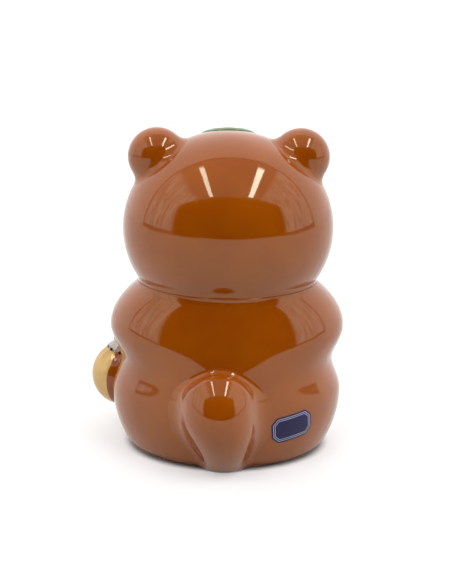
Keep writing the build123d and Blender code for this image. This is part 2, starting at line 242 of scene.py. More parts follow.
class TanukiStage(PropertyGroup):
    """The camera and the photo tent."""

    distance: length("Distance", "Distance of the camera from its aim", 0.85)
    azimuth: angle("Azimuth", "Turn of the camera round the figure", 178.5)
    elevation: angle("Elevation", "Rise of the camera above the level", 14.45)
    roll: angle("Roll", "Turn of the camera about its own axis", 0.65)
    aim_height: length("Aim height", "Height of the point that the camera is set out from", 0.078)
    aim_drop: length("Aim drop", "How far below that point the picture's middle lies", 0.0019)
    aim_side: length("Aim side", "How far to the picture's left its middle lies", 0.0007)
    lens: FloatProperty(name="Lens", description="Focal length", default=106.0, subtype="DISTANCE_CAMERA")
    paper: amount("Paper", "Light of the white paper", 1.35)
    lining: amount("Lining", "Light of the silver lining", 0.58)
    walls: amount("Walls", "Light of the lining's side walls", 1.35)
    strips: amount("Strips", "Light of the two lamp strips", 11.5)
    room: amount("Room", "Light of the dim room before the tent", 0.008)
    floor_glow: amount("Floor glow", "Light that keeps the floor white", 0.42)
    fill: amount("Fill", "Power of the soft lamp above the camera", 5.0)


# Fields: near distance to a form, negative inside it


def unit(vector):
    return np.asarray(vector, float) / np.linalg.norm(vector)


def ellipsoid_field(points, centre, half, axes=None):
    """Near distance to an ellipsoid, along its own axes where they are given as rows."""
    local = points - centre
    if axes is not None:
        local = local @ np.asarray(axes).T
    inward = local / half
    share = np.linalg.norm(inward, axis=-1)
    slope = np.linalg.norm(inward / half, axis=-1)
    return share * (share - 1) / np.maximum(slope, LEAST_SLOPE)


def oval_field(x, y, half_width, half_depth):
    """Near distance to an upright form's side, from its oval at each height."""
    share = np.hypot(x / half_width, y / half_depth)
    slope = np.hypot(x / half_width**2, y / half_depth**2)
    return share * (share - 1) / np.maximum(slope, LEAST_SLOPE)


def melt(first, second, width):
    """Union of two fields with a rounded seam."""
    near = np.maximum(width - np.abs(first - second), 0) / width
    return np.minimum(first, second) - near * near * width / 4


def carve(first, second, width):
    """The first field with the second taken out, with a rounded edge."""
    return -melt(-first, second, width)


def ball_field(points, centre, radius):
    return np.linalg.norm(points - centre, axis=-1) - radius


def limb_field(points, path, radii):
    """Near distance to a rounded limb along a path."""
    nearest = None
    for start, end, start_radius, end_radius in zip(path, path[1:], radii, radii[1:]):
        run = end - start
        along = np.clip(((points - start) @ run) / (run @ run), 0, 1)
        spine = start + along[..., None] * run
        gap = np.linalg.norm(points - spine, axis=-1) - start_radius - along * (end_radius - start_radius)
        nearest = gap if nearest is None else np.minimum(nearest, gap)
    return nearest


def step(value, low, high):
    """A smooth step from 0 at low to 1 at high."""
    share = np.clip((value - low) / (high - low), 0, 1)
    return share * share * (3 - 2 * share)


def ease(first_value, last_value, first, last, height):
    """A value that goes smoothly from the first to the last between two heights."""
    return first_value + (last_value - first_value) * step(height, first, last)


def fall_off(top_value, end_value, top, end, height):
    """A value that falls along a parabola from its top to its end, and straight on past the end."""
    share = (height - top) / (end - top)
    fall = np.where(share < 1, share**2, 2 * share - 1)
    return top_value - (top_value - end_value) * fall


def cast(field, origin, rays, reach):
    """Distance along each ray from inside a form out to its surface, or the reach."""
    near = np.zeros(rays.shape[:-1])
    far = np.full(rays.shape[:-1], reach)
    for _ in range(HALVINGS):
        middle = (near + far) / 2
        inside = field(origin + rays * middle[..., None]) < 0
        near = np.where(inside, middle, near)
        far = np.where(inside, far, middle)
    return (near + far) / 2


class Figure:
    """The figure's head and torso, about the middle of the head."""

    def __init__(self, context):
        self.form = context.scene.tanuki_form
        self.trim = context.scene.tanuki_trim
        share = math.sqrt(1 - ((HEAD_CENTRE[2] - NECK_HEIGHT) / HEAD_HALF[2]) ** 2)
        self.neck_half_width = HEAD_HALF[0] * share
        self.neck_reach = HEAD_HALF[1] * share

    def swell(self, rim, top, neck, top_height, height):
        """A reach that grows from the rim to its top and falls off to the neck."""
        low = fall_off(top, rim, top_height, 0, height)
        high = fall_off(top, neck, top_height, NECK_HEIGHT, height)
        return np.where(height < top_height, low, high)

    def girth(self, height):
        """Half width, half depth and middle of the torso's oval at a height."""
        form = self.form
        height = np.clip(height, 0, NECK_HEIGHT + NECK_ROOT)
        back = self.swell(form.rim_back, form.back_reach, self.neck_reach, form.back_height, height)
        front = self.swell(form.rim_front, form.belly_reach, self.neck_reach, form.belly_height, height)
        haunch = fall_off(form.haunch_half_width, form.rim_half_width, form.haunch_height, 0, height)
        waist = ease(
            form.haunch_half_width, form.waist_half_width, form.haunch_height, form.waist_height, height
        )
        arm = ease(form.waist_half_width, form.elbow_half_width, form.waist_height, form.elbow_height, height)
        shoulder = fall_off(
            form.elbow_half_width, self.neck_half_width, form.elbow_height, NECK_HEIGHT, height
        )
        bands = [height < form.haunch_height, height < form.waist_height, height < form.elbow_height]
        half_width = np.select(bands, [haunch, waist, arm], shoulder)
        rise = np.clip(form.rim_fillet - height, 0, form.rim_fillet)
        rounding = form.rim_fillet - np.sqrt(form.rim_fillet**2 - rise**2)
        return half_width - rounding, (back + front) / 2 - rounding, (back - front) / 2

    def head(self, points):
        return ellipsoid_field(points, HEAD_CENTRE, HEAD_HALF)

    def torso(self, points):
        half_width, half_depth, middle = self.girth(points[..., 2])
        side = oval_field(points[..., 0], points[..., 1] - middle, half_width, half_depth)
        return np.maximum(side, points[..., 2] - NECK_HEIGHT - NECK_ROOT)

    def body(self, points):
        """Head and torso together, with the rounded neck crease."""
        return melt(self.head(points), self.torso(points), self.form.neck_melt)

    def head_point(self, side, rise):
        """A point on the head: side is the turn from straight ahead towards +X."""
        ray = np.array((math.sin(side) * math.cos(rise), -math.cos(side) * math.cos(rise), math.sin(rise)))
        return HEAD_CENTRE + ray / np.linalg.norm(ray / HEAD_HALF)

    def torso_point(self, height, turn, sink=0.0):
        """A point on the torso, or sunk below its skin."""
        half_width, half_depth, middle = self.girth(np.array(height))
        reach = 1 / math.hypot(math.sin(turn) / half_width, math.cos(turn) / half_depth) - sink
        return np.array((reach * math.sin(turn), float(middle) - reach * math.cos(turn), height))


# Meshes


def finish_mesh(name, points, faces):
    """A smooth mesh in the part's frame with its faces turned outwards."""
    mesh = bpy.data.meshes.new(name)
    mesh.from_pydata((np.asarray(points) + FIGURE_PLACE).tolist(), [], faces)
    shell = bmesh.new()
    shell.from_mesh(mesh)
    bmesh.ops.remove_doubles(shell, verts=shell.verts, dist=SAME_POINT)
    bmesh.ops.recalc_face_normals(shell, faces=shell.faces)
    for face in shell.faces:
        face.smooth = True
    shell.to_mesh(mesh)
    shell.free()
    return mesh


def loft(name, rings, start, end):
    """A closed skin through rings of points, closed by a point at each end."""
    rings = np.asarray(rings)
    count, around, _ = rings.shape
    points = np.concatenate([rings.reshape(-1, 3), [start], [end]])
    faces = []
    for ring in range(count - 1):
        for place in range(around):
            after = (place + 1) % around
            low = ring * around
            faces.append((low + place, low + after, low + around + after, low + around + place))
    for place in range(around):
        after = (place + 1) % around
        faces.append((count * around, after, place))
        last = (count - 1) * around
        faces.append((count * around + 1, last + place, last + after))
    return finish_mesh(name, points, faces)


def circle(around):
    """Cosines and sines of the turns round a circle."""
    turn = np.linspace(0, 2 * math.pi, around, endpoint=False)
    return np.cos(turn), np.sin(turn)


def level_rays(around):
    """Level directions all the way round."""
    return np.stack([*circle(around), np.zeros(around)], axis=-1)


def fan(axis, across, rings, around, end_angle, stretch=1.0):
    """Rays that fan out from an axis, ring by ring, wider along the second direction by the stretch."""
    axis = unit(axis)
    across = unit(across - axis * (across @ axis))
    upright = np.cross(axis, across)
    cos_turn, sin_turn = circle(around)
    flat = cos_turn[:, None] * across + stretch * sin_turn[:, None] * upright
    tilt = end_angle * np.arange(1, rings + 1) / rings
    rays = np.cos(tilt)[:, None, None] * axis + np.sin(tilt)[:, None, None] * flat
    return rays / np.linalg.norm(rays, axis=-1, keepdims=True)


def outward(field, points):
    """Direction in which a field grows at each point."""
    shifts = SHIFT * np.eye(3)
    slope = np.stack([field(points + shift) - field(points - shift) for shift in shifts], axis=-1)
    return slope / np.maximum(np.linalg.norm(slope, axis=-1, keepdims=True), LEAST_SLOPE)


def grow(name, piece, parent, width, origins, rays, reach, tip_ray, end):
    """Skin of a piece that melts into its parent, and is tucked under it where it ends.

    The seam's width is a value or a function of the points.
    """

    def seam(points):
        return width(points) if callable(width) else width

    def field(points):
        return melt(piece(points), parent(points), seam(points))

    distance = cast(field, origins, rays, reach)
    points = origins + rays * distance[..., None]
    over = (piece(points) - parent(points)) / seam(points)
    tuck = TUCK * step(over, TUCK_START, TUCK_FULL)
    points = points - outward(parent, points) * tuck[..., None]
    points[..., 2] = np.maximum(points[..., 2], TABLE_CLEARANCE)
    tip_origin = np.broadcast_to(origins, rays.shape)[0, 0]
    tip = tip_origin + tip_ray * cast(field, tip_origin, tip_ray[None], reach)[0]
    return loft(name, points, tip, end)


def grow_cap(
    name, piece, parent, width, centre, axis, across, *, depth, reach, detail, end_angle, stretch=1.0
):
    """Skin of a piece that stands out from its parent along an axis, seen from a point below its middle."""
    axis = unit(axis)
    origin = centre - axis * depth
    rings, around = detail
    rays = fan(axis, across, rings, around, end_angle, stretch)
    return grow(name, piece, parent, width, origin, rays, reach, axis, origin)


def keep_values(mesh, name, values):
    """Store a value at each point of a skin, for its material."""
    kept = mesh.attributes.new(name, "FLOAT", "POINT")
    kept.data.foreach_set("value", values.astype(np.float32))


def keep_distance(mesh, name, field):
    """Store a field's near distance at each point of a skin."""
    points = np.empty(3 * len(mesh.vertices))
    mesh.vertices.foreach_get("co", points)
    keep_values(mesh, name, field(points.reshape(-1, 3) - FIGURE_PLACE))


def place_piece(mesh, node, material):
    """Put a finished skin on the part, in place of its CAD node where it has one."""
    piece = bpy.data.objects.new(mesh.name, mesh)
    bpy.context.scene.collection.objects.link(piece)
    mesh.materials.append(material)
    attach(piece, "root")
    if node:
        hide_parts(node)


# Materials


def add(tree, kind, inputs=None, **settings):
    """A node with its settings and inputs; an input is a value or a socket to link."""
    node = tree.nodes.new(kind)
    for key, value in settings.items():
        setattr(node, key, value)
    for key, value in (inputs or {}).items():
        if isinstance(value, bpy.types.NodeSocket):
            tree.links.new(value, node.inputs[key])
        else:
            node.inputs[key].default_value = value
    return node


def sums(tree, operation, first, second=0.0):
    """One step of arithmetic on values or sockets."""
    return add(tree, "ShaderNodeMath", {0: first, 1: second}, operation=operation).outputs[0]


def ramp(tree, value, low, high, first=0.0, last=1.0):
    """A smooth change from first to last as the value goes from low to high."""
    inputs = {"Value": value, "From Min": low, "From Max": high, "To Min": first, "To Max": last}
    return add(tree, "ShaderNodeMapRange", inputs, interpolation_type="SMOOTHSTEP").outputs[0]


def rgba(shade):
    """A colour with its alpha; a socket stays as it is."""
    return shade if isinstance(shade, bpy.types.NodeSocket) else (*shade, 1.0)


def blend(tree, factor, first, second):
    """A mix of two colours."""
    first_place, second_place, result = 6, 7, 2
    inputs = {0: factor, first_place: rgba(first), second_place: rgba(second)}
    return add(tree, "ShaderNodeMix", inputs, data_type="RGBA").outputs[result]


def tint(shade, share):
    """A deeper or paler tint of a colour."""
    return tuple(share * value for value in shade)


def noise(tree, where, size, detail=2.0):
    """Cloudy noise whose patches are about as large as the size."""
    inputs = {"Vector": where, "Scale": 1 / size, "Detail": detail}
    return add(tree, "ShaderNodeTexNoise", inputs).outputs["Fac"]


def clouds(tree, where, size):
    """Soft patches where a glaze lies thinner."""
    return ramp(tree, noise(tree, where, size, 3.0), 0.35, 0.7)


def dents(tree, height, strength, depth):
    """Normals of a skin with small dents."""
    inputs = {"Height": height, "Strength": strength, "Distance": depth}
    return add(tree, "ShaderNodeBump", inputs).outputs[0]


def kept_value(tree, name):
    """The value that is stored at a skin's points."""
    return add(tree, "ShaderNodeAttribute", attribute_name=name).outputs["Fac"]


def millimetres(tree, metres):
    return sums(tree, "DIVIDE", metres, MILLIMETRE)


def wire(tree, shader, values):
    """Link values to a shader's sockets by their names."""
    for name, value in values.items():
        tree.links.new(value, shader.inputs[name])


def new_material(name):
    """A material with a bare shader, and the place on the skin that its patterns follow."""
    material = bpy.data.materials.new(name)
    material.use_nodes = True
    tree = material.node_tree
    tree.nodes.clear()
    shader = add(tree, "ShaderNodeBsdfPrincipled")
    add(tree, "ShaderNodeOutputMaterial", {"Surface": shader.outputs[0]})
    where = add(tree, "ShaderNodeTexCoord").outputs["Object"]
    return material, tree, shader, where


def oval(tree, where, centre, half, low, high):
    """1 inside an ellipsoid at a place in the figure, falling to 0 between the shares low and high."""

    def vector(operation, inputs):
        return add(tree, "ShaderNodeVectorMath", inputs, operation=operation).outputs

    place = [float(value) for value in np.asarray(centre) + FIGURE_PLACE]
    shifted = vector("SUBTRACT", {0: where, 1: place})[0]
    scaled = vector("MULTIPLY", {0: shifted, 1: [1 / value for value in half]})[0]
    return ramp(tree, vector("LENGTH", {0: scaled})["Value"], low, high, 1.0, 0.0)


def glaze(
    name, main, deep, roughness=0.05, paint=(), bare_clay=None, speckle=0.35, limb=False, amber=True
):
    """Fired glaze: cloudy depth of colour, iron specks, a faintly wavy gloss and painted areas.

    On a limb the paint is kept to the seam, where the attribute limb_distance grows.
    """
    cloud_size, speck_size, gloss_size, wave_size, peel_size = 0.030, 0.0045, 0.012, 0.022, 0.0016
    material, tree, shader, where = new_material(name)
    if amber:
        shader.inputs["IOR"].default_value = AMBER_IOR
        shader.inputs["Specular Tint"].default_value = AMBER_TINT
    tone = blend(tree, clouds(tree, where, cloud_size), deep, main)
    for painted, centre, half, low, high in paint:
        cover = oval(tree, where, centre, half, low, high)
        if limb:
            seam = ramp(tree, millimetres(tree, kept_value(tree, "limb_distance")), 0.5, 0.8)
            cover = sums(tree, "MULTIPLY", cover, seam)
        tone = blend(tree, cover, tone, painted)
    cells = add(tree, "ShaderNodeTexVoronoi", {"Vector": where, "Scale": 1 / speck_size})
    specks = ramp(tree, cells.outputs["Distance"], 0.02, 0.09, speckle, 0.0)
    tone = blend(tree, specks, tone, tint(deep, 0.35))
    gloss = ramp(tree, noise(tree, where, gloss_size), 0.3, 0.7, roughness * 0.8, roughness * 1.3)
    peel = sums(tree, "MULTIPLY", noise(tree, where, peel_size, 1.0), 0.012)
    relief = sums(tree, "ADD", noise(tree, where, wave_size, 1.0), peel)
    if bare_clay is not None:
        ragged_size = 0.006
        level = add(tree, "ShaderNodeSeparateXYZ", {0: where}).outputs["Z"]
        wander = sums(tree, "MULTIPLY", noise(tree, where, ragged_size), 0.8)
        ragged = sums(tree, "SUBTRACT", millimetres(tree, level), wander)
        bare = ramp(tree, ragged, 0.4, 0.8, 1.0, 0.0)
        tone = blend(tree, bare, tone, bare_clay)
        gloss = sums(tree, "ADD", gloss, sums(tree, "MULTIPLY", bare, 0.7))
    normal = dents(tree, relief, 0.5, 0.0006)
    wire(tree, shader, {"Base Color": tone, "Roughness": gloss, "Normal": normal})
    return material


def lustre(name, main, body):
    """Burnished gold lustre: thin brushed metal over glaze, and a brown band where it meets the haunch, partly
    body glaze and partly a painted reflection of the haunch.
    """
    cloud_size, brush_size, ragged_size = 0.011, 0.0009, 0.005
    brush_scale = (1.0, 1.0, 0.12)
    material, tree, shader, where = new_material(name)
    tone = blend(tree, clouds(tree, where, cloud_size), tint(main, 0.88), main)
    stretched = add(tree, "ShaderNodeMapping", {"Vector": where, "Scale": brush_scale}).outputs[0]
    brushed = noise(tree, stretched, brush_size)
    gloss = ramp(tree, brushed, 0.3, 0.7, 0.30, 0.38)
    wander = sums(tree, "MULTIPLY", noise(tree, where, ragged_size), 0.6)
    ragged = sums(tree, "ADD", millimetres(tree, kept_value(tree, "body_distance")), wander)
    # Brown band within about 4 mm of the haunch: body glaze there, and also a painted reflection of the brown
    # haunch in the gold
    run = ramp(tree, ragged, 3.9, 4.3, 1.0, 0.0)
    values = {
        "Base Color": blend(tree, run, tone, body),
        "Roughness": sums(tree, "MULTIPLY", gloss, ramp(tree, run, 0.0, 1.0, 1.0, 0.2)),
        "Normal": dents(tree, brushed, 0.05, 0.0002),
        "Metallic": sums(tree, "SUBTRACT", 1.0, run),
    }
    wire(tree, shader, values)
    return material


def clay(name, main):
    """Bare fired clay with grain."""
    grain_size = 0.0012
    material, tree, shader, where = new_material(name)
    grain = noise(tree, where, grain_size, 4.0)
    values = {
        "Base Color": blend(tree, ramp(tree, grain, 0.3, 0.7), tint(main, 0.75), main),
        "Roughness": ramp(tree, grain, 0.2, 0.8, 0.78, 0.92),
        "Normal": dents(tree, grain, 0.5, 0.0003),
    }
    wire(tree, shader, values)
    return material


def label_paper(name, ground, line):
    """Printed paper: pale lines follow the label's edge, whose distance is an attribute."""
    fibre_size, gloss_size = 0.0015, 0.004
    line_edges, line_soft = ((0.8, 1.08), (1.65, 1.9)), 0.08
    material, tree, shader, where = new_material(name)
    edge = millimetres(tree, kept_value(tree, "edge_distance"))
    fibres = ramp(tree, noise(tree, where, fibre_size), 0.3, 0.7)
    tone = blend(tree, fibres, ground, tint(ground, 1.25))
    for low, high in line_edges:
        inner = ramp(tree, edge, low - line_soft, low + line_soft)
        outer = ramp(tree, edge, high - line_soft, high + line_soft, 1.0, 0.0)
        tone = blend(tree, sums(tree, "MULTIPLY", inner, outer), tone, line)
    gloss = ramp(tree, noise(tree, where, gloss_size), 0.3, 0.7, 0.32, 0.45)
    wire(tree, shader, {"Base Color": tone, "Roughness": gloss})
    shader.inputs["Specular IOR Level"].default_value = 0.3
    return material


def brown_glaze(context, limb=False):
    """The body glaze, with the belly and a mask round the eyes painted on."""
    name = "fired_brown_limb" if limb else "fired_brown"
    existing = bpy.data.materials.get(name)
    if existing:
        return existing
    belly_half = (0.031, 0.022, 0.030)
    mask_half = (0.0115, 0.010, 0.0095)
    mask_spread, mask_rise = 1.12, 0.6
    shades = context.scene.tanuki_colours
    figure = Figure(context)
    form = figure.form
    belly = figure.torso_point(form.belly_height, 0.0)
    paint = [(shades.cream, belly, belly_half, 0.97, 1.03)]
    for _, side in SIDES:
        eye = figure.head_point(side * form.eye_spread * mask_spread, form.eye_rise * mask_rise)
        paint.append((shades.mask, eye, mask_half, 0.94, 1.06))
    return glaze(name, shades.brown, shades.brown_deep, paint=paint, bare_clay=shades.clay, limb=limb)


def plain_glaze(name, main, deep_share, roughness=0.05, speckle=0.2):
    """A glaze of one colour, deeper where it pools."""
    return glaze(name, main, tint(main, deep_share), roughness, speckle=speckle, amber=False)


# Operators


class TANUKI_OT_head(Operator):
    """Skin of the head, from the crown to the neck crease."""

    bl_idname = "tanuki.head"
    bl_label = "Head"

    rings: number("Rings", "Rings from crown to neck", 130, 8)
    around: number("Around", "Points in a ring", 200, 8)

    def execute(self, context):
        figure = Figure(context)
        level = level_rays(self.around)
        neck_middle = NECK_HEIGHT * UPWARD
        neck = cast(figure.body, neck_middle, level, BODY_REACH)
        end_angle = np.arctan2(neck, NECK_HEIGHT - HEAD_CENTRE[2])
        tilt = end_angle * (np.arange(1, self.rings + 1) / self.rings)[:, None]
        rays = np.cos(tilt)[..., None] * UPWARD + np.sin(tilt)[..., None] * level
        distance = cast(figure.body, HEAD_CENTRE, rays, BODY_REACH)
        points = HEAD_CENTRE + rays * distance[..., None]
        crown = HEAD_CENTRE + UPWARD * HEAD_HALF[2]
        mesh = loft("head_skin", points, crown, neck_middle)
        place_piece(mesh, "head_shell", brown_glaze(context))
        return {"FINISHED"}


class TANUKI_OT_torso(Operator):
    """Skin of the torso, with the foot rim and the recessed floor."""

    bl_idname = "tanuki.torso"
    bl_label = "Torso"

    rings: number("Rings", "Rings from neck to rim", 150, 8)
    fillet_rings: number("Fillet rings", "Rings over the rim's rounding", 12, 3)
    around: number("Around", "Points in a ring", 220, 8)

    def execute(self, context):
        figure = Figure(context)
        fillet = figure.form.rim_fillet
        upper = np.linspace(NECK_HEIGHT, fillet, self.rings)
        curl = np.linspace(0, math.pi / 2, self.fillet_rings)[1:]
        heights = np.concatenate([upper, fillet * (1 - np.sin(curl))])
        origins = (UPWARD * heights[:, None])[:, None, :]
        rays = np.broadcast_to(level_rays(self.around), (len(heights), self.around, 3))
        distance = cast(figure.body, origins, rays, BODY_REACH)
        rings = list(origins + rays * distance[..., None]) + self.underside(figure)
        hole_end = rings[-1][0, 2] * UPWARD
        mesh = loft("torso_skin", rings, NECK_HEIGHT * UPWARD, hole_end)
        place_piece(mesh, "torso_shell", brown_glaze(context))
        return {"FINISHED"}

    def underside(self, figure):
        """Rings from the rim's inner edge over the recessed floor and up the pour hole."""
        edge_in, edge_up, wall_in = 0.0006, 0.0002, 0.0010
        seat_clearance, seat_ledge = 0.00015, 0.005
        form = figure.form
        half_width, half_depth, _ = figure.girth(np.array(form.rim_fillet))
        rim = np.array((half_width - form.rim_width, half_depth - form.rim_width))
        disc_low, disc_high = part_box("base_disc")
        ceiling = disc_high.z
        seat = np.full(2, (disc_high.x - disc_low.x) / 2 + seat_clearance)
        pour_hole = seat - seat_ledge
        rows = (
            (rim, 0.0),
            (rim - edge_in, edge_up),
            (rim - wall_in, form.floor_recess),
            (seat, form.floor_recess),
            (seat, ceiling),
            (pour_hole, ceiling),
            (pour_hole, 4 * ceiling),
        )
        level = level_rays(self.around)
        return [level * (*reach, 0.0) + height * UPWARD for reach, height in rows]


class TANUKI_OT_base_disc(Operator):
    """Clay disc in the pour hole, with its vent hole."""

    bl_idname = "tanuki.base_disc"
    bl_label = "Base disc"

    around: number("Around", "Points in a ring", 96, 8)
    vent_radius: length("Vent radius", "Radius of the vent hole", 0.004)
    bevel: length("Bevel", "Softened edge of the disc", 0.0004)

    def execute(self, context):
        low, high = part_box("base_disc")
        radius = (high.x - low.x) / 2
        edge = self.bevel
        profile = (
            (self.vent_radius, low.z + edge),
            (self.vent_radius + edge, low.z),
            (radius - edge, low.z),
            (radius, low.z + edge),
            (radius, high.z - edge),
            (radius - edge, high.z),
            (self.vent_radius + edge, high.z),
            (self.vent_radius, high.z - edge),
        )
        cos_turn, sin_turn = circle(self.around)
        points = []
        faces = []
        count = len(profile)
        for place in range(self.around):
            points += [(r * cos_turn[place], r * sin_turn[place], z) for r, z in profile]
            here = place * count
            after = (place + 1) % self.around * count
            for row in range(count):
                following = (row + 1) % count
                faces.append((here + row, here + following, after + following, after + row))
        mesh = finish_mesh("base_disc_skin", points, faces)
        material = clay("unglazed_clay", context.scene.tanuki_colours.clay)
        place_piece(mesh, "base_disc", material)
        return {"FINISHED"}


class TANUKI_OT_ears(Operator):
    """Ball ears with a dished front, melted into the head."""

    bl_idname = "tanuki.ears"
    bl_label = "Ears"

    def execute(self, context):
        dish_lift, dish_melt = 0.0006, 0.0016
        figure = Figure(context)
        form = figure.form
        half = np.array((form.ear_radius, form.ear_half_depth, form.ear_radius))
        dish_half = np.array((form.dish_radius, form.dish_radius, form.dish_depth))
        for name, side in SIDES:
            centre = figure.head_point(side * math.pi / 2, form.ear_angle)
            outwards = unit(centre - HEAD_CENTRE)
            facing = outwards * math.cos(form.dish_turn) + FORWARD * math.sin(form.dish_turn)
            across = unit(np.cross(facing, outwards))
            axes = np.stack([across, np.cross(facing, across), facing])
            dish_centre = centre + facing * half + facing * dish_lift

            def ear(points):
                ball = ellipsoid_field(points, centre, half)
                return carve(ball, ellipsoid_field(points, dish_centre, dish_half, axes), dish_melt)

            mesh = grow_cap(
                f"{name}_ear_skin", ear, figure.head, form.ear_melt, centre, outwards, FORWARD,
                depth=0.007, reach=0.036, detail=(90, 128), end_angle=1.62,
            )
            material = self.ear_glaze(context, name, dish_centre)
            place_piece(mesh, f"{name}_ear", material)
        return {"FINISHED"}

    def ear_glaze(self, context, name, dish_centre):
        """Body glaze with the dish painted dark."""
        shades = context.scene.tanuki_colours
        radius = 0.9 * context.scene.tanuki_form.dish_radius
        inside = (shades.mask, dish_centre, (radius, radius, radius), 0.86, 1.0)
        return glaze(f"{name}_ear_glaze", shades.brown, shades.brown_deep, paint=[inside])


class TANUKI_OT_tail(Operator):
    """Plump tail, melted into the back."""

    bl_idname = "tanuki.tail"
    bl_label = "Tail"

    def execute(self, context):
        lean_heights, soft_start, soft_end = (0.004, 0.034), (0.006, 0.020), (0.032, 0.046)
        foot_height, dome_power, dome_end, crown_melt = -0.002, 2.6, 0.999, 0.003
        figure = Figure(context)
        form = figure.form
        spine = form.back_reach - form.tail_sink
        plump = form.tail_height

        def tail(points):
            height = points[..., 2]
            low = height < plump
            rise = np.clip((height - plump) / form.tail_rise, 0, dome_end)
            foot = ease(form.tail_low_half_width, form.tail_half_width, foot_height, plump, height)
            half_width = np.where(low, foot, form.tail_half_width * np.sqrt(1 - rise**dome_power))
            tuck = fall_off(form.tail_reach, form.tail_low_reach, plump, 0, height)
            reach = np.where(low, tuck, form.tail_reach * np.sqrt(1 - rise**2))
            x = points[..., 0] - form.tail_offset - form.tail_lean * step(height, *lean_heights)
            y = points[..., 1] - spine
            bow = form.tail_crown_radius
            crown = form.tail_top + form.tail_dip * (y - form.tail_crest) - x**2 / (2 * bow)
            over = (height - crown) / np.hypot(math.hypot(1, form.tail_dip), x / bow)
            return -melt(-oval_field(x, y, half_width, reach), -over, crown_melt)

        def seam(points):
            height = points[..., 2]
            soft = step(height, *soft_start) * (1 - step(height, *soft_end))
            return form.tail_melt + (form.tail_soft_melt - form.tail_melt) * soft

        middle = np.array((form.tail_offset + form.tail_lean, spine, plump))
        mesh = grow_cap(
            "tail_skin", tail, figure.torso, seam, middle, -FORWARD, SIDEWAYS,
            depth=0.0, reach=0.048, detail=(110, 160), end_angle=1.50, stretch=1.3,
        )
        place_piece(mesh, "tail", brown_glaze(context))
        return {"FINISHED"}


class TANUKI_OT_arms(Operator):
    """Forearms that follow the belly, with paws and finger bumps."""

    bl_idname = "tanuki.arms"
    bl_label = "Arms"

    left_paw_height: length("Left paw height", "Height of the left paw", 0.051)
    left_paw_angle: angle("Left paw angle", "Turn of the left paw from straight ahead", 47)
    right_paw_height: length("Right paw height", "Height of the right paw", 0.053)
    right_paw_angle: angle("Right paw angle", "Turn of the right paw from straight ahead", 22)
    stations: number("Stations", "Rings along a forearm", 60, 4)
    around: number("Around", "Points in a ring", 96, 8)

    def execute(self, context):
        path_points, paw_melt, arm_reach = 17, 0.004, 0.019
        knuckle_run, knuckle_rise, knuckle_spread = 0.0064, 0.0038, 0.0056
        knuckle_radius, knuckle_melt = 0.0043, 0.0012
        figure = Figure(context)
        form = figure.form
        paws = {
            "left": (self.left_paw_height, self.left_paw_angle),
            "right": (self.right_paw_height, self.right_paw_angle),
        }
        for name, side in SIDES:
            height, turn = paws[name]
            elbow = figure.torso_point(form.elbow_height, side * form.elbow_angle, form.elbow_sink)
            middle = figure.torso_point(
                (form.elbow_height + height) / 2, side * (form.elbow_angle + turn) / 2, form.forearm_sink
            )
            paw = figure.torso_point(height, side * turn, form.paw_sink)
            control = 2 * middle - (elbow + paw) / 2
            share = np.linspace(0, 1, path_points)[:, None]
            path = (1 - share) ** 2 * elbow + 2 * share * (1 - share) * control + share**2 * paw
            along = share[:, 0]
            radii = (
                form.elbow_radius * (1 - along) * (1 - 2 * along)
                + form.forearm_radius * 4 * along * (1 - along)
                + form.wrist_radius * along * (2 * along - 1)
            )
            end_run = unit(path[-1] - path[-2])
            outwards = unit(paw - height * UPWARD)
            across = unit(np.cross(end_run, outwards))
            knuckles = [
                paw + knuckle_run * end_run + knuckle_rise * outwards + spread * across
                for spread in (-knuckle_spread, 0.0, knuckle_spread)
            ]

            def arm(points):
                paw_ball = ball_field(points, paw, form.paw_radius)
                field = melt(limb_field(points, path, radii), paw_ball, paw_melt)
                for knuckle in knuckles:
                    field = melt(field, ball_field(points, knuckle, knuckle_radius), knuckle_melt)
                return field

            origins, rays = self.rays(path, end_run)
            mesh = grow(
                f"{name}_arm_skin", arm, figure.torso, form.limb_melt, origins, rays, arm_reach, end_run, elbow
            )
            keep_distance(mesh, "limb_distance", arm)
            place_piece(mesh, f"{name}_arm", brown_glaze(context, limb=True))
        return {"FINISHED"}

    def rays(self, path, end_run):
        """Rays round the forearm from the paw's tip back to the elbow."""
        cos_turn, sin_turn = circle(self.around)
        runs = np.gradient(path, axis=0)
        runs = runs / np.linalg.norm(runs, axis=-1, keepdims=True)
        runs[-1] = end_run
        origins = []
        rays = []
        cap_rings = 36
        for ring in range(1, cap_rings + self.stations):
            if ring <= cap_rings:
                tilt = math.pi / 2 * ring / cap_rings
                place = len(path) - 1.0
            else:
                tilt = math.pi / 2
                place = (len(path) - 1.0) * (1 - (ring - cap_rings) / self.stations)
            low = min(int(place), len(path) - 2)
            share = place - low
            spot = (1 - share) * path[low] + share * path[low + 1]
            run = unit((1 - share) * runs[low] + share * runs[low + 1])
            across = unit(np.cross(run, UPWARD))
            upright = np.cross(across, run)
            flat = cos_turn[:, None] * across + sin_turn[:, None] * upright
            origins.append(np.broadcast_to(spot, (self.around, 3)))
            rays.append(math.cos(tilt) * run + math.sin(tilt) * flat)
        return np.array(origins), np.array(rays)


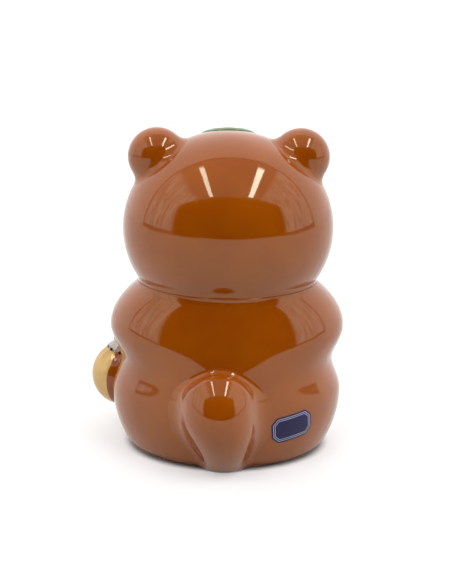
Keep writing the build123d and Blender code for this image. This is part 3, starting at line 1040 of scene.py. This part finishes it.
class TANUKI_OT_feet(Operator):
    """Round soles with toe bumps, in front of the haunches."""

    bl_idname = "tanuki.feet"
    bl_label = "Feet"

    def execute(self, context):
        toe_run, toe_rise, toe_droop, toe_spread = 0.0064, 0.0095, 50.0, 0.0074
        toe_radius, toe_melt, sole_melt = 0.0046, 0.0014, 0.004
        pad_run, pad_drop, pad_half = 0.012, 0.0025, (0.0085, 0.0085, 0.0078)
        ahead = np.array((0.5, 1.0, 1.0))
        figure = Figure(context)
        form = figure.form
        shades = context.scene.tanuki_colours
        height = form.sole_clearance + form.sole_half_height
        half = np.array((form.sole_half_width, form.sole_half_depth, form.sole_half_height))
        for name, side in SIDES:
            centre = figure.torso_point(height, side * form.sole_angle, form.sole_sink)
            outwards = unit((centre - height * UPWARD) * ahead)
            across = unit(np.cross(outwards, UPWARD))
            toes = [
                centre + toe_run * outwards + spread * across + (toe_rise - toe_droop * spread**2) * UPWARD
                for spread in (-toe_spread, 0.0, toe_spread)
            ]

            def foot(points):
                field = ellipsoid_field(points, centre, half)
                for toe in toes:
                    field = melt(field, ball_field(points, toe, toe_radius), toe_melt)
                return field

            mesh = grow_cap(
                f"{name}_foot_skin", foot, figure.torso, sole_melt, centre, outwards, UPWARD,
                depth=0.004, reach=0.026, detail=(84, 120), end_angle=1.9,
            )
            pad_place = centre + pad_run * outwards - pad_drop * UPWARD
            pad = (shades.cream, pad_place, pad_half, 0.92, 1.04)
            material = glaze(f"{name}_foot_glaze", shades.brown, shades.brown_deep, paint=[pad])
            place_piece(mesh, f"{name}_foot", material)
        return {"FINISHED"}


class TANUKI_OT_face(Operator):
    """Muzzle with its mouth line, nose and eyes."""

    bl_idname = "tanuki.face"
    bl_label = "Face"

    def execute(self, context):
        line_radius, line_melt = 0.0007, 0.0008
        figure = Figure(context)
        form = figure.form
        shades = context.scene.tanuki_colours
        centre = figure.head_point(0.0, -form.muzzle_drop) - form.muzzle_sink * FORWARD
        half = np.array((form.muzzle_half_width, form.muzzle_half_depth, form.muzzle_half_height))
        lines = self.mouth_lines(centre, half)

        def ball(points):
            return ellipsoid_field(points, centre, half)

        def muzzle(points):
            field = ball(points)
            for line in lines:
                radii = np.full(len(line), line_radius)
                field = carve(field, limb_field(points, line, radii), line_melt)
            return field

        mesh = grow_cap(
            "muzzle_skin", muzzle, figure.head, form.muzzle_melt, centre, FORWARD, SIDEWAYS,
            depth=0.004, reach=0.024, detail=(130, 200), end_angle=1.85,
        )
        place_piece(mesh, "muzzle", plain_glaze("fired_cream", shades.cream, 0.86))
        black = plain_glaze("fired_black", shades.black, 0.6, 0.035, 0.0)
        rise = form.nose_rise
        self.nose(ball, centre + half * np.array((0.0, -math.cos(rise), math.sin(rise))), black)
        self.eyes(figure, black)
        return {"FINISHED"}

    def nose(self, muzzle_ball, centre, black):
        """Button nose with two nostrils."""
        half = np.array((0.0056, 0.0036, 0.0040))
        nostril_side, nostril_front, nostril_drop = 0.0024, 0.0034, 0.0016
        nostril_radius, nostril_melt, root_melt = 0.0008, 0.0006, 0.0012
        nostrils = [
            centre + np.array((side * nostril_side, -nostril_front, -nostril_drop)) for _, side in SIDES
        ]

        def button(points):
            field = ellipsoid_field(points, centre, half)
            for nostril in nostrils:
                field = carve(field, ball_field(points, nostril, nostril_radius), nostril_melt)
            return field

        mesh = grow_cap(
            "nose_skin", button, muzzle_ball, root_melt, centre, FORWARD, SIDEWAYS,
            depth=0.0006, reach=0.009, detail=(60, 96), end_angle=2.0,
        )
        place_piece(mesh, "nose", black)

    def eyes(self, figure, black):
        """Round eyes let into the face."""
        root_melt = 0.0008
        form = figure.form
        half = np.full(3, form.eye_radius)
        for name, side in SIDES:
            centre = figure.head_point(side * form.eye_spread, form.eye_rise) - form.eye_sink * FORWARD

            def eyeball(points):
                return ellipsoid_field(points, centre, half)

            mesh = grow_cap(
                f"{name}_eye_skin", eyeball, figure.head, root_melt, centre, FORWARD, SIDEWAYS,
                depth=0.0004, reach=0.007, detail=(48, 72), end_angle=1.9,
            )
            place_piece(mesh, f"{name}_eye", black)

    def mouth_lines(self, centre, half):
        """A short line down from the nose and a curve to each side of it."""
        line_top, fork, line_points = 0.0042, -0.0030, 8
        lip_width, lip_drop, lip_turn, lip_points = 0.0046, 0.0036, math.pi * 0.62, 14

        def on_muzzle(x, z):
            y = -half[1] * math.sqrt(max(0.0, 1 - (x / half[0]) ** 2 - (z / half[2]) ** 2))
            return centre + np.array((x, y, z))

        curves = [np.array([on_muzzle(0.0, z) for z in np.linspace(line_top, fork, line_points)])]
        for _, side in SIDES:
            curve = [
                on_muzzle(side * lip_width * (1 - math.cos(turn)), fork - lip_drop * math.sin(turn))
                for turn in np.linspace(0, lip_turn, lip_points)
            ]
            curves.append(np.array(curve))
        return curves


class TANUKI_OT_leaf(Operator):
    """Broad leaf on the crown, with a midrib and side veins."""

    bl_idname = "tanuki.leaf"
    bl_label = "Leaf"

    rings: number("Rings", "Rings from the middle to the edge", 70, 4)
    around: number("Around", "Points in a ring", 240, 8)

    def execute(self, context):
        rib_height, rib_width, sag_depth = 0.00042, 0.0008, 0.00035
        vein_height, vein_width, vein_slant = 0.00022, 0.0005, 0.75
        edge_power, under_share = 5, 0.97
        trim = context.scene.tanuki_trim
        middle = -trim.leaf_rear - trim.leaf_round
        x_ray, y_ray = circle(self.around)
        reach = self.reach(trim, x_ray, y_ray)
        share = np.linspace(0, 1, self.rings + 1)[1:]
        share = np.sin(share * math.pi / 2)
        x = share[:, None] * reach * x_ray
        y = share[:, None] * reach * y_ray
        edge = np.broadcast_to(share[:, None], x.shape)
        height = trim.leaf_thickness * (1 - edge**edge_power) ** 0.5
        across = np.abs(x)
        rib = rib_height * np.exp(-((x / rib_width) ** 2)) * step(edge, 1.0, 0.9)
        rib = rib * step(y, 0.9 * trim.leaf_round, 0.2 * trim.leaf_round)
        wave = ((y + vein_slant * across) / trim.vein_spacing) % 1.0
        vein = vein_height * np.exp(-(((wave - 0.5) * trim.vein_spacing / vein_width) ** 2))
        vein = vein * step(across, 0.0004, 0.002) * step(edge, 1.0, 0.85)
        sag = -sag_depth * step(across, 0.0, 0.005) * step(edge, 1.0, 0.6)
        top = self.on_crown(x, y + middle, height + rib + vein + sag)
        under = self.on_crown(x[-1] * under_share, y[-1] * under_share + middle, np.full(self.around, -TUCK))
        pole = self.on_crown(0.0, middle, np.array(trim.leaf_thickness + rib_height))
        end = self.on_crown(0.0, middle, np.array(-2 * TUCK))
        mesh = loft("leaf_skin", [*top, under], pole, end)
        thin = np.concatenate([((rib + vein) / rib_height).reshape(-1), np.zeros(self.around), [1.0, 0.0]])
        keep_values(mesh, "thin_glaze", thin)
        place_piece(mesh, "leaf", self.leaf_glaze(context.scene.tanuki_colours))
        return {"FINISHED"}

    def reach(self, trim, x_ray, y_ray):
        """Distance from the leaf's middle to its edge: round at the rear, pointed in front."""
        front = trim.leaf_length - trim.leaf_round
        bow_centre = (trim.leaf_half_width**2 - front**2) / (2 * trim.leaf_half_width)
        bow_radius = trim.leaf_half_width - bow_centre
        near = np.zeros(self.around)
        far = np.full(self.around, 2 * trim.leaf_length)
        for _ in range(HALVINGS):
            trial = (near + far) / 2
            x = np.abs(x_ray * trial)
            y = y_ray * trial
            rear = (x / trim.leaf_half_width) ** 2 + (y / trim.leaf_round) ** 2 < 1
            pointed = (x - bow_centre) ** 2 + y**2 < bow_radius**2
            inside = np.where(y > 0, rear, pointed)
            near = np.where(inside, trial, near)
            far = np.where(inside, far, trial)
        return near

    def on_crown(self, x, y, lift):
        """Points lifted off the head's skin over a place in plan."""
        z = HEAD_HALF[2] * np.sqrt(1 - (x / HEAD_HALF[0]) ** 2 - (y / HEAD_HALF[1]) ** 2)
        foot = np.stack([x, y, z], axis=-1)
        normal = foot / HEAD_HALF**2
        normal = normal / np.linalg.norm(normal, axis=-1, keepdims=True)
        return HEAD_CENTRE + foot + normal * lift[..., None]

    def leaf_glaze(self, shades):
        """Green glaze that breaks paler over the raised veins."""
        material = glaze("fired_green", shades.green, tint(shades.green, 0.7), 0.06)
        tree = material.node_tree
        shader = next(node for node in tree.nodes if node.type == "BSDF_PRINCIPLED")
        tone = shader.inputs["Base Color"].links[0].from_socket
        thin = sums(tree, "MULTIPLY", kept_value(tree, "thin_glaze"), 0.75)
        wire(tree, shader, {"Base Color": blend(tree, thin, tone, shades.green_pale)})
        return material


def pouch_axes(figure):
    """Middle of the pouch and its axes as rows, the last one along its neck."""
    trim = figure.trim
    centre = figure.torso_point(trim.pouch_height, trim.pouch_angle, trim.pouch_sink)
    lean = trim.pouch_lean
    neck = np.array((-math.sin(lean), 0.0, math.cos(lean)))
    across = np.array((math.cos(lean), 0.0, math.sin(lean)))
    return centre, np.stack([across, np.array((0.0, 1.0, 0.0)), neck])


def pouch_shoulder(trim):
    """Height of the neck's seam above the pouch's middle."""
    return math.sqrt(trim.pouch_radius**2 - trim.pouch_neck_radius**2)


def turned(profile, around, pleat_count, pleat_depths):
    """Rings round an axis from (radius, height) rows, pleated by a depth for each row."""
    small_fold, small_turn = 0.35, 0.8
    turn = np.linspace(0, 2 * math.pi, around, endpoint=False)
    fold = np.cos(pleat_count * turn) + small_fold * np.cos(2 * pleat_count * turn + small_turn)
    radius = profile[:, :1] + pleat_depths[:, None] * fold
    height = np.broadcast_to(profile[:, 1:], radius.shape)
    return np.stack([radius * np.cos(turn), radius * np.sin(turn), height], axis=-1)


class TANUKI_OT_pouch(Operator):
    """Gold money pouch and its gathered white neck."""

    bl_idname = "tanuki.pouch"
    bl_label = "Pouch"

    around: number("Around", "Points in a ring", 168, 8)

    def execute(self, context):
        ball_rings, neck_root, frill_dip = 82, 0.001, 0.0032
        figure = Figure(context)
        trim = figure.trim
        shades = context.scene.tanuki_colours
        shoulder = pouch_shoulder(trim)
        rise = np.linspace(-math.pi / 2, math.asin(shoulder / trim.pouch_radius), ball_rings)[1:]
        ball = trim.pouch_radius * np.stack([np.cos(rise), np.sin(rise)], axis=-1)
        depth = 0.5 * trim.pleat_depth * step(ball[:, 1], 0.35 * shoulder, shoulder)
        mesh = self.gathered(figure, "pouch_body_skin", ball, depth, -trim.pouch_radius, shoulder)
        keep_distance(mesh, "body_distance", figure.torso)
        # Its brown band beside the haunch is partly a painted reflection of the haunch
        gold = lustre("burnished_gold", shades.gold, shades.brown)
        place_piece(mesh, "pouch_body", gold)

        neck, depth = self.neck(trim, shoulder)
        start, end = shoulder - neck_root, trim.pouch_frill_height - frill_dip
        mesh = self.gathered(figure, "pouch_neck_skin", neck, depth, start, end)
        material = plain_glaze("fired_white", shades.white, 0.9, 0.06, 0.1)
        place_piece(mesh, "pouch_neck", material)
        return {"FINISHED"}

    def neck(self, trim, shoulder):
        """Profile of the neck from the pouch's shoulder past the tie to the frill's lip, and its pleats."""
        neck_rings, overlap, room, lip_rise, tie_soft = 44, 0.0004, 0.0002, 0.002, 0.005
        lip = np.array([(0.86, 0.0002), (0.70, -0.0006), (0.45, -0.0022), (0.2, -0.003)])
        waist, frill = trim.pouch_tie_height, trim.pouch_frill_height
        heights = np.linspace(shoulder - overlap, frill, neck_rings)
        low = ease(trim.pouch_neck_radius + room, trim.pouch_tie_radius, shoulder, waist, heights)
        high = ease(trim.pouch_tie_radius, trim.pouch_frill_radius, waist, frill + lip_rise, heights)
        radius = np.where(heights < waist, low, high)
        depth = trim.pleat_depth * (0.5 + 0.5 * step(np.abs(heights - waist), 0.0, tie_soft))
        lip_rows = np.stack([radius[-1] * lip[:, 0], heights[-1] + lip[:, 1]], axis=-1)
        profile = np.concatenate([np.stack([radius, heights], axis=-1), lip_rows])
        return profile, np.concatenate([depth, trim.pleat_depth * lip[:, 0]])

    def gathered(self, figure, name, profile, depth, start, end):
        """A pleated skin round the pouch's axis, closed on the axis at two heights."""
        centre, axes = pouch_axes(figure)
        rings = turned(profile, self.around, figure.trim.pleats, depth)
        return loft(name, rings @ axes + centre, start * axes[2] + centre, end * axes[2] + centre)


def group_tree(name, sizes, count):
    """An empty geometry tree with inputs for its sizes and its count, and one geometry output."""
    tree = bpy.data.node_groups.new(name, "GeometryNodeTree")
    for label in sizes:
        tree.interface.new_socket(label, in_out="INPUT", socket_type="NodeSocketFloat")
    tree.interface.new_socket(count, in_out="INPUT", socket_type="NodeSocketInt")
    tree.interface.new_socket("Geometry", in_out="OUTPUT", socket_type="NodeSocketGeometry")
    return tree, add(tree, "NodeGroupInput").outputs, add(tree, "NodeGroupOutput")


def ring_curve(tree, points, radius):
    inputs = {"Resolution": points, "Radius": radius}
    return add(tree, "GeometryNodeCurvePrimitiveCircle", inputs).outputs[0]


def run_tree(name, tree, values, place):
    """Evaluate a geometry tree with its input values and return a plain mesh, put in place."""
    holder = bpy.data.objects.new(name + "_maker", bpy.data.meshes.new(name + "_empty"))
    bpy.context.scene.collection.objects.link(holder)
    modifier = holder.modifiers.new("maker", "NODES")
    modifier.node_group = tree
    for item in tree.interface.items_tree:
        if item.in_out == "INPUT":
            modifier[item.identifier] = values[item.name]
    bpy.context.view_layer.update()
    evaluated = holder.evaluated_get(bpy.context.evaluated_depsgraph_get())
    mesh = bpy.data.meshes.new_from_object(evaluated)
    mesh.name = name
    holder.modifiers.clear()
    bpy.data.objects.remove(holder)
    centre, axes = place
    points = np.empty(3 * len(mesh.vertices), np.float32)
    mesh.vertices.foreach_get("co", points)
    moved = points.reshape(-1, 3) @ axes + centre + FIGURE_PLACE
    mesh.vertices.foreach_set("co", moved.astype(np.float32).ravel())
    for face in mesh.polygons:
        face.use_smooth = True
    mesh.update()
    return mesh


class TANUKI_OT_tie(Operator):
    """Twisted tie round the pouch's neck and the row of dark dots along its seam."""

    bl_idname = "tanuki.tie"
    bl_label = "Tie and seam dots"

    def execute(self, context):
        strand_out, dot_out = 1.6, 0.4
        figure = Figure(context)
        trim = figure.trim
        centre, axes = pouch_axes(figure)
        material = plain_glaze("fired_tie", context.scene.tanuki_colours.tie, 0.7, 0.12, 0.0)
        strands = {
            "Ring Radius": trim.pouch_tie_radius + strand_out * trim.strand_radius,
            "Strand Radius": trim.strand_radius,
            "Twists": trim.strand_twists,
        }
        dots = {
            "Ring Radius": trim.pouch_neck_radius + dot_out * trim.stitch_radius,
            "Dot Radius": trim.stitch_radius,
            "Dots": trim.stitch_count,
        }
        for name, node, tree, values, height in (
            ("pouch_tie_skin", "pouch_tie", self.strand_tree(material), strands, trim.pouch_tie_height),
            ("pouch_seam_dots", None, self.dot_tree(material), dots, pouch_shoulder(trim)),
        ):
            mesh = run_tree(name, tree, values, (centre + height * axes[2], axes))
            mesh.materials.clear()
            place_piece(mesh, node, material)
        return {"FINISHED"}

    def strand_tree(self, material):
        """Two strands wound round each other along a ring."""
        ring_points, strand_points = 260, 14
        tree, given, out = group_tree("twisted_tie", ("Ring Radius", "Strand Radius"), "Twists")
        ring = ring_curve(tree, ring_points, given["Ring Radius"])
        share = add(tree, "GeometryNodeSplineParameter").outputs["Factor"]
        around = sums(tree, "MULTIPLY", share, 2 * math.pi)
        turns = sums(tree, "MULTIPLY", share, given["Twists"])
        winding = sums(tree, "MULTIPLY", turns, 2 * math.pi)
        joined = add(tree, "GeometryNodeJoinGeometry")
        for phase in (0.0, math.pi):
            twist = sums(tree, "ADD", winding, phase)
            swing = sums(tree, "MULTIPLY", sums(tree, "COSINE", twist), given["Strand Radius"])
            places = {
                0: sums(tree, "MULTIPLY", swing, sums(tree, "COSINE", around)),
                1: sums(tree, "MULTIPLY", swing, sums(tree, "SINE", around)),
                2: sums(tree, "MULTIPLY", sums(tree, "SINE", twist), given["Strand Radius"]),
            }
            offset = add(tree, "ShaderNodeCombineXYZ", places).outputs[0]
            strand = add(tree, "GeometryNodeSetPosition", {"Geometry": ring, "Offset": offset}).outputs[0]
            profile = ring_curve(tree, strand_points, given["Strand Radius"])
            tube = add(tree, "GeometryNodeCurveToMesh", {"Curve": strand, "Profile Curve": profile})
            tree.links.new(tube.outputs[0], joined.inputs[0])
        self.close_tree(tree, joined.outputs[0], out, material)
        return tree

    def dot_tree(self, material):
        """Small round dots along a ring."""
        ring_points, dot_levels = 96, 3
        tree, given, out = group_tree("seam_dots", ("Ring Radius", "Dot Radius"), "Dots")
        ring = ring_curve(tree, ring_points, given["Ring Radius"])
        along = {"Curve": ring, "Count": given["Dots"]}
        spots = add(tree, "GeometryNodeCurveToPoints", along, mode="COUNT").outputs[0]
        size = {"Radius": given["Dot Radius"], "Subdivisions": dot_levels}
        dot = add(tree, "GeometryNodeMeshIcoSphere", size).outputs[0]
        placed = add(tree, "GeometryNodeInstanceOnPoints", {"Points": spots, "Instance": dot})
        self.close_tree(tree, placed.outputs[0], out, material)
        return tree

    def close_tree(self, tree, geometry, out, material):
        """Make the geometry real, glaze it and hand it out."""
        real = add(tree, "GeometryNodeRealizeInstances", {"Geometry": geometry})
        glazed = add(tree, "GeometryNodeSetMaterial", {"Geometry": real.outputs[0], "Material": material})
        tree.links.new(glazed.outputs[0], out.inputs[0])


class TANUKI_OT_label(Operator):
    """Small bare label with cut corners on the right haunch."""

    bl_idname = "tanuki.label"
    bl_label = "Label"

    rings: number("Rings", "Rings from the middle to the edge", 60, 4)
    along: number("Along", "Points along each side", 14, 2)

    def execute(self, context):
        haunch_reach = 0.2
        figure = Figure(context)
        trim = figure.trim
        shades = context.scene.tanuki_colours
        spot = np.array((trim.label_side, 0.0, trim.label_height))
        reach = cast(figure.body, spot, -FORWARD[None], haunch_reach)[0]
        centre = spot - FORWARD * reach
        normal = outward(figure.body, centre)
        rightwards = unit(np.cross(normal, UPWARD))
        upright = np.cross(rightwards, normal)
        tilt = trim.label_tilt
        across = math.cos(tilt) * rightwards - math.sin(tilt) * upright
        rise = np.cross(normal, across)
        outline = self.outline(trim)
        share = np.linspace(0, 1, self.rings + 1)[1:]
        flat = share[:, None, None] * outline
        sheet = centre + flat[..., :1] * across + flat[..., 1:] * rise
        edge = self.edge_distance(flat, outline)
        lift = np.full(share.shape, trim.label_thickness)
        rings = list(self.wrap(figure, sheet, normal, lift))
        rings.append(self.wrap(figure, sheet[-1:], normal, np.array([-TUCK]))[0])
        top = self.wrap(figure, centre[None, None], normal, lift[:1])[0, 0]
        mesh = loft("haunch_label", rings, top, centre - normal * 3 * TUCK)
        distances = np.concatenate([edge.reshape(-1), np.zeros(len(outline)), [trim.label_half_height, 0.0]])
        keep_values(mesh, "edge_distance", distances)
        material = label_paper("label_paper", shades.navy, shades.lavender)
        place_piece(mesh, None, material)
        return {"FINISHED"}

    def outline(self, trim):
        """Points round a rectangle with cut corners."""
        wide, high, cut = trim.label_half_width, trim.label_half_height, trim.label_corner
        corners = []
        for x_sign, y_sign in ((1, 1), (-1, 1), (-1, -1), (1, -1)):
            pair = [(x_sign * wide, y_sign * (high - cut)), (x_sign * (wide - cut), y_sign * high)]
            corners += pair if x_sign * y_sign > 0 else pair[::-1]
        corners = np.array(corners)
        share = np.linspace(0, 1, self.along, endpoint=False)[:, None]
        sides = [start + share * (end - start) for start, end in zip(corners, np.roll(corners, -1, axis=0))]
        return np.concatenate(sides)

    def edge_distance(self, flat, outline):
        """Distance of each point of the flat sheet from the outline's nearest side."""
        runs = np.roll(outline, -1, axis=0) - outline
        inwards = np.stack([-runs[:, 1], runs[:, 0]], axis=-1) / np.linalg.norm(runs, axis=-1, keepdims=True)
        gaps = np.einsum("rpsk,sk->rps", flat[:, :, None, :] - outline, inwards)
        return np.maximum(gaps.min(axis=-1), 0)

    def wrap(self, figure, sheet, normal, lift):
        """Lay a sheet on the body along its normal, raised by a lift for each ring."""
        depth = 0.012
        below = sheet - depth * normal
        rays = np.broadcast_to(normal, sheet.shape)
        reach = cast(figure.body, below, rays, 2 * depth)
        return below + rays * (reach + lift[:, None])[..., None]


class TANUKI_OT_stage(Operator):
    """White paper floor, the light of a photo tent and the camera."""

    bl_idname = "tanuki.stage"
    bl_label = "Stage"

    def execute(self, context):
        stage = context.scene.tanuki_stage
        self.floor(stage)
        self.tent(context, stage)
        self.fill(context, stage)
        self.camera(context, stage)
        context.scene.view_settings.view_transform = "Standard"
        return {"FINISHED"}

    def floor(self, stage):
        """White paper with a faint glow, which is kept off the shadow under the figure."""
        reach, paper_shade, paper_roughness = 3.0, 0.54, 0.6
        shadow_half, shadow_edge = (0.049, 0.048, 1.0), (0.96, 1.07)
        mesh = bpy.data.meshes.new("paper_floor")
        corners = [(-reach, -reach, 0.0), (reach, -reach, 0.0), (reach, reach, 0.0), (-reach, reach, 0.0)]
        mesh.from_pydata(corners, [], [(0, 1, 2, 3)])
        floor = bpy.data.objects.new("paper_floor", mesh)
        bpy.context.scene.collection.objects.link(floor)
        material, tree, shader, where = new_material("white_paper")
        shader.inputs["Base Color"].default_value = (paper_shade, paper_shade, paper_shade, 1.0)
        shader.inputs["Roughness"].default_value = paper_roughness
        path = add(tree, "ShaderNodeLightPath").outputs
        mirrored = sums(tree, "MAXIMUM", path["Is Glossy Ray"], path["Is Transmission Ray"])
        seen = sums(tree, "MAXIMUM", path["Is Camera Ray"], mirrored)
        glow = sums(tree, "MULTIPLY", seen, stage.floor_glow)
        under = oval(tree, where, (0.0, 0.0, 0.0), shadow_half, *shadow_edge)
        glow = sums(tree, "MULTIPLY", glow, sums(tree, "SUBTRACT", 1.0, under))
        shader.inputs["Emission Color"].default_value = (1.0, 1.0, 1.0, 1.0)
        wire(tree, shader, {"Emission Strength": glow})
        mesh.materials.append(material)

    def tent(self, context, stage):
        """Light by direction: paper behind, silver lining and lamp strips above, a dim room before it."""
        paper_edge, wall_edge = (-0.24, -0.16), (0.68, 0.85)
        fold_scale, fold_size, fold_shares = (3.0, 9.0, 1.2), 2.2, (0.75, 1.4)
        hem_place, hem_width, skirting_width, line_share = 0.2, (0.008, 0.02), (0.012, 0.03), 0.75
        room_top, room_side, room_front = (1.02, 1.16), (1.55, 2.0), (0.0, 0.05)
        strip_start, strip_end, strip_soft = (-0.10, 0.02), (0.84, 0.90), 0.02
        strips = ((0.395, 0.030, 0.9), (-0.475, 0.045, 1.2))
        least = 0.001
        world = bpy.data.worlds.new("photo_tent")
        context.scene.world = world
        world.use_nodes = True
        tree = world.node_tree
        tree.nodes.clear()
        ray = add(tree, "ShaderNodeTexCoord").outputs["Generated"]
        x, y, z = add(tree, "ShaderNodeSeparateXYZ", {0: ray}).outputs
        wide = sums(tree, "ABSOLUTE", x)
        ahead = sums(tree, "MAXIMUM", y, least)
        above = sums(tree, "MAXIMUM", z, least)
        # Paper behind the tent's edge, plain lining overhead and crumpled lining at the sides
        opening = ramp(tree, y, *paper_edge)
        folds = add(tree, "ShaderNodeMapping", {"Vector": ray, "Scale": fold_scale}).outputs[0]
        creases = {"Vector": folds, "Scale": fold_size, "Detail": 4.0, "Distortion": 0.8}
        crumple = add(tree, "ShaderNodeTexNoise", creases).outputs["Fac"]
        streaks = ramp(tree, crumple, 0.35, 0.7, *(share * stage.walls for share in fold_shares))
        wall = ramp(tree, sums(tree, "DIVIDE", wide, above), *wall_edge)
        light = self.mix(tree, opening, stage.paper, self.mix(tree, wall, stage.lining, streaks))
        # Dark lines where the lining ends and where the tent meets the table
        from_hem = sums(tree, "ABSOLUTE", sums(tree, "ADD", y, hem_place))
        hem = ramp(tree, from_hem, *hem_width, line_share, 0.0)
        skirting = sums(tree, "MULTIPLY", ramp(tree, z, *skirting_width, line_share, 0.0), opening)
        light = self.mix(tree, sums(tree, "MAXIMUM", hem, skirting), light, stage.room)
        # The dim room, seen through the tent's front
        low = ramp(tree, sums(tree, "DIVIDE", z, ahead), *room_top, 1.0, 0.0)
        narrow = ramp(tree, sums(tree, "DIVIDE", wide, ahead), *room_side, 1.0, 0.0)
        before = ramp(tree, y, *room_front)
        dim = sums(tree, "MULTIPLY", sums(tree, "MULTIPLY", low, narrow), before)
        light = self.mix(tree, dim, light, stage.room)
        # Two lamp strips overhead
        across = sums(tree, "DIVIDE", x, above)
        along = sums(tree, "DIVIDE", y, above)
        strip_run = sums(
            tree, "MULTIPLY", ramp(tree, along, *strip_start), ramp(tree, along, *strip_end, 1.0, 0.0)
        )
        for place, half_width, share in strips:
            beside = sums(tree, "ABSOLUTE", sums(tree, "SUBTRACT", across, place))
            strip_side = ramp(tree, beside, half_width, half_width + strip_soft, 1.0, 0.0)
            strip = sums(tree, "MULTIPLY", strip_side, strip_run)
            light = self.mix(tree, strip, light, share * stage.strips)
        # The camera itself sees white
        seen = add(tree, "ShaderNodeLightPath").outputs["Is Camera Ray"]
        light = self.mix(tree, seen, light, 1.0)
        background = add(tree, "ShaderNodeBackground", {"Color": (1.0, 1.0, 1.0, 1.0), "Strength": light})
        add(tree, "ShaderNodeOutputWorld", {"Surface": background.outputs[0]})

    def mix(self, tree, factor, first, second):
        """A mix of two strengths of light."""
        first_place, second_place = 2, 3
        inputs = {0: factor, first_place: first, second_place: second}
        return add(tree, "ShaderNodeMix", inputs, data_type="FLOAT").outputs[0]

    def fill(self, context, stage):
        """Soft lamp above the camera that lights the clay and shows in no reflection."""
        figure_middle = Vector((0.0, 0.0, 0.07))
        lamp = bpy.data.lights.new("soft_fill", "AREA")
        lamp.energy = stage.fill
        lamp.shape = "RECTANGLE"
        lamp.size = 1.4
        lamp.size_y = 0.9
        fill = bpy.data.objects.new("soft_fill", lamp)
        context.scene.collection.objects.link(fill)
        fill.location = (0.0, 0.7, 1.35)
        fill.rotation_mode = "QUATERNION"
        fill.rotation_quaternion = (figure_middle - fill.location).to_track_quat("-Z", "Y")
        fill.visible_glossy = False
        fill.visible_camera = False

    def camera(self, context, stage):
        """Camera at the photo's viewing angle."""
        camera = bpy.data.cameras.new("camera")
        camera.lens = stage.lens
        camera.sensor_width = 36.0
        eye = bpy.data.objects.new("camera", camera)
        context.scene.collection.objects.link(eye)
        level = math.cos(stage.elevation)
        back = Vector(
            (math.sin(stage.azimuth) * level, -math.cos(stage.azimuth) * level, math.sin(stage.elevation))
        )
        start = Vector(FIGURE_PLACE) + Vector((0.0, 0.0, stage.aim_height))
        eye.location = start + back * stage.distance
        rightwards = (-back).cross(Vector((0.0, 0.0, 1.0))).normalized()
        upright = rightwards.cross(-back)
        aim = start - upright * stage.aim_drop - rightwards * stage.aim_side
        look = (aim - eye.location).to_track_quat("-Z", "Y")
        eye.rotation_mode = "QUATERNION"
        eye.rotation_quaternion = look @ Quaternion((0.0, 0.0, 1.0), stage.roll)
        context.scene.camera = eye


class TANUKI_PT_panel(Panel):
    """Makers of the ornament's pieces and stage."""

    bl_idname = "TANUKI_PT_panel"
    bl_label = "Seated Tanuki"
    bl_space_type = "VIEW_3D"
    bl_region_type = "UI"
    bl_category = "Tanuki"

    def draw(self, context):
        for maker in MAKERS:
            self.layout.operator(maker.bl_idname)
        for group in GROUPS:
            settings = getattr(context.scene, group)
            box = self.layout.box()
            for key in settings.__annotations__:
                box.prop(settings, key)


MAKERS = (
    TANUKI_OT_head,
    TANUKI_OT_torso,
    TANUKI_OT_base_disc,
    TANUKI_OT_ears,
    TANUKI_OT_tail,
    TANUKI_OT_arms,
    TANUKI_OT_feet,
    TANUKI_OT_face,
    TANUKI_OT_leaf,
    TANUKI_OT_pouch,
    TANUKI_OT_tie,
    TANUKI_OT_label,
    TANUKI_OT_stage,
)
GROUPS = {
    "tanuki_form": TanukiForm,
    "tanuki_trim": TanukiTrim,
    "tanuki_colours": TanukiColours,
    "tanuki_stage": TanukiStage,
}


def register():
    for group in GROUPS.values():
        bpy.utils.register_class(group)
    for name, group in GROUPS.items():
        setattr(bpy.types.Scene, name, PointerProperty(type=group))
    for maker in MAKERS:
        bpy.utils.register_class(maker)
    bpy.utils.register_class(TANUKI_PT_panel)


def unregister():
    bpy.utils.unregister_class(TANUKI_PT_panel)
    for maker in reversed(MAKERS):
        bpy.utils.unregister_class(maker)
    for name, group in reversed(GROUPS.items()):
        delattr(bpy.types.Scene, name)
        bpy.utils.unregister_class(group)


def main():
    """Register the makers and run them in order."""
    register()
    bpy.ops.tanuki.head()
    bpy.ops.tanuki.torso()
    bpy.ops.tanuki.base_disc()
    bpy.ops.tanuki.ears()
    bpy.ops.tanuki.tail()
    bpy.ops.tanuki.arms()
    bpy.ops.tanuki.feet()
    bpy.ops.tanuki.face()
    bpy.ops.tanuki.leaf()
    bpy.ops.tanuki.pouch()
    bpy.ops.tanuki.tie()
    bpy.ops.tanuki.label()
    bpy.ops.tanuki.stage()
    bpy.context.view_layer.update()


if __name__ == "__main__":
    main()
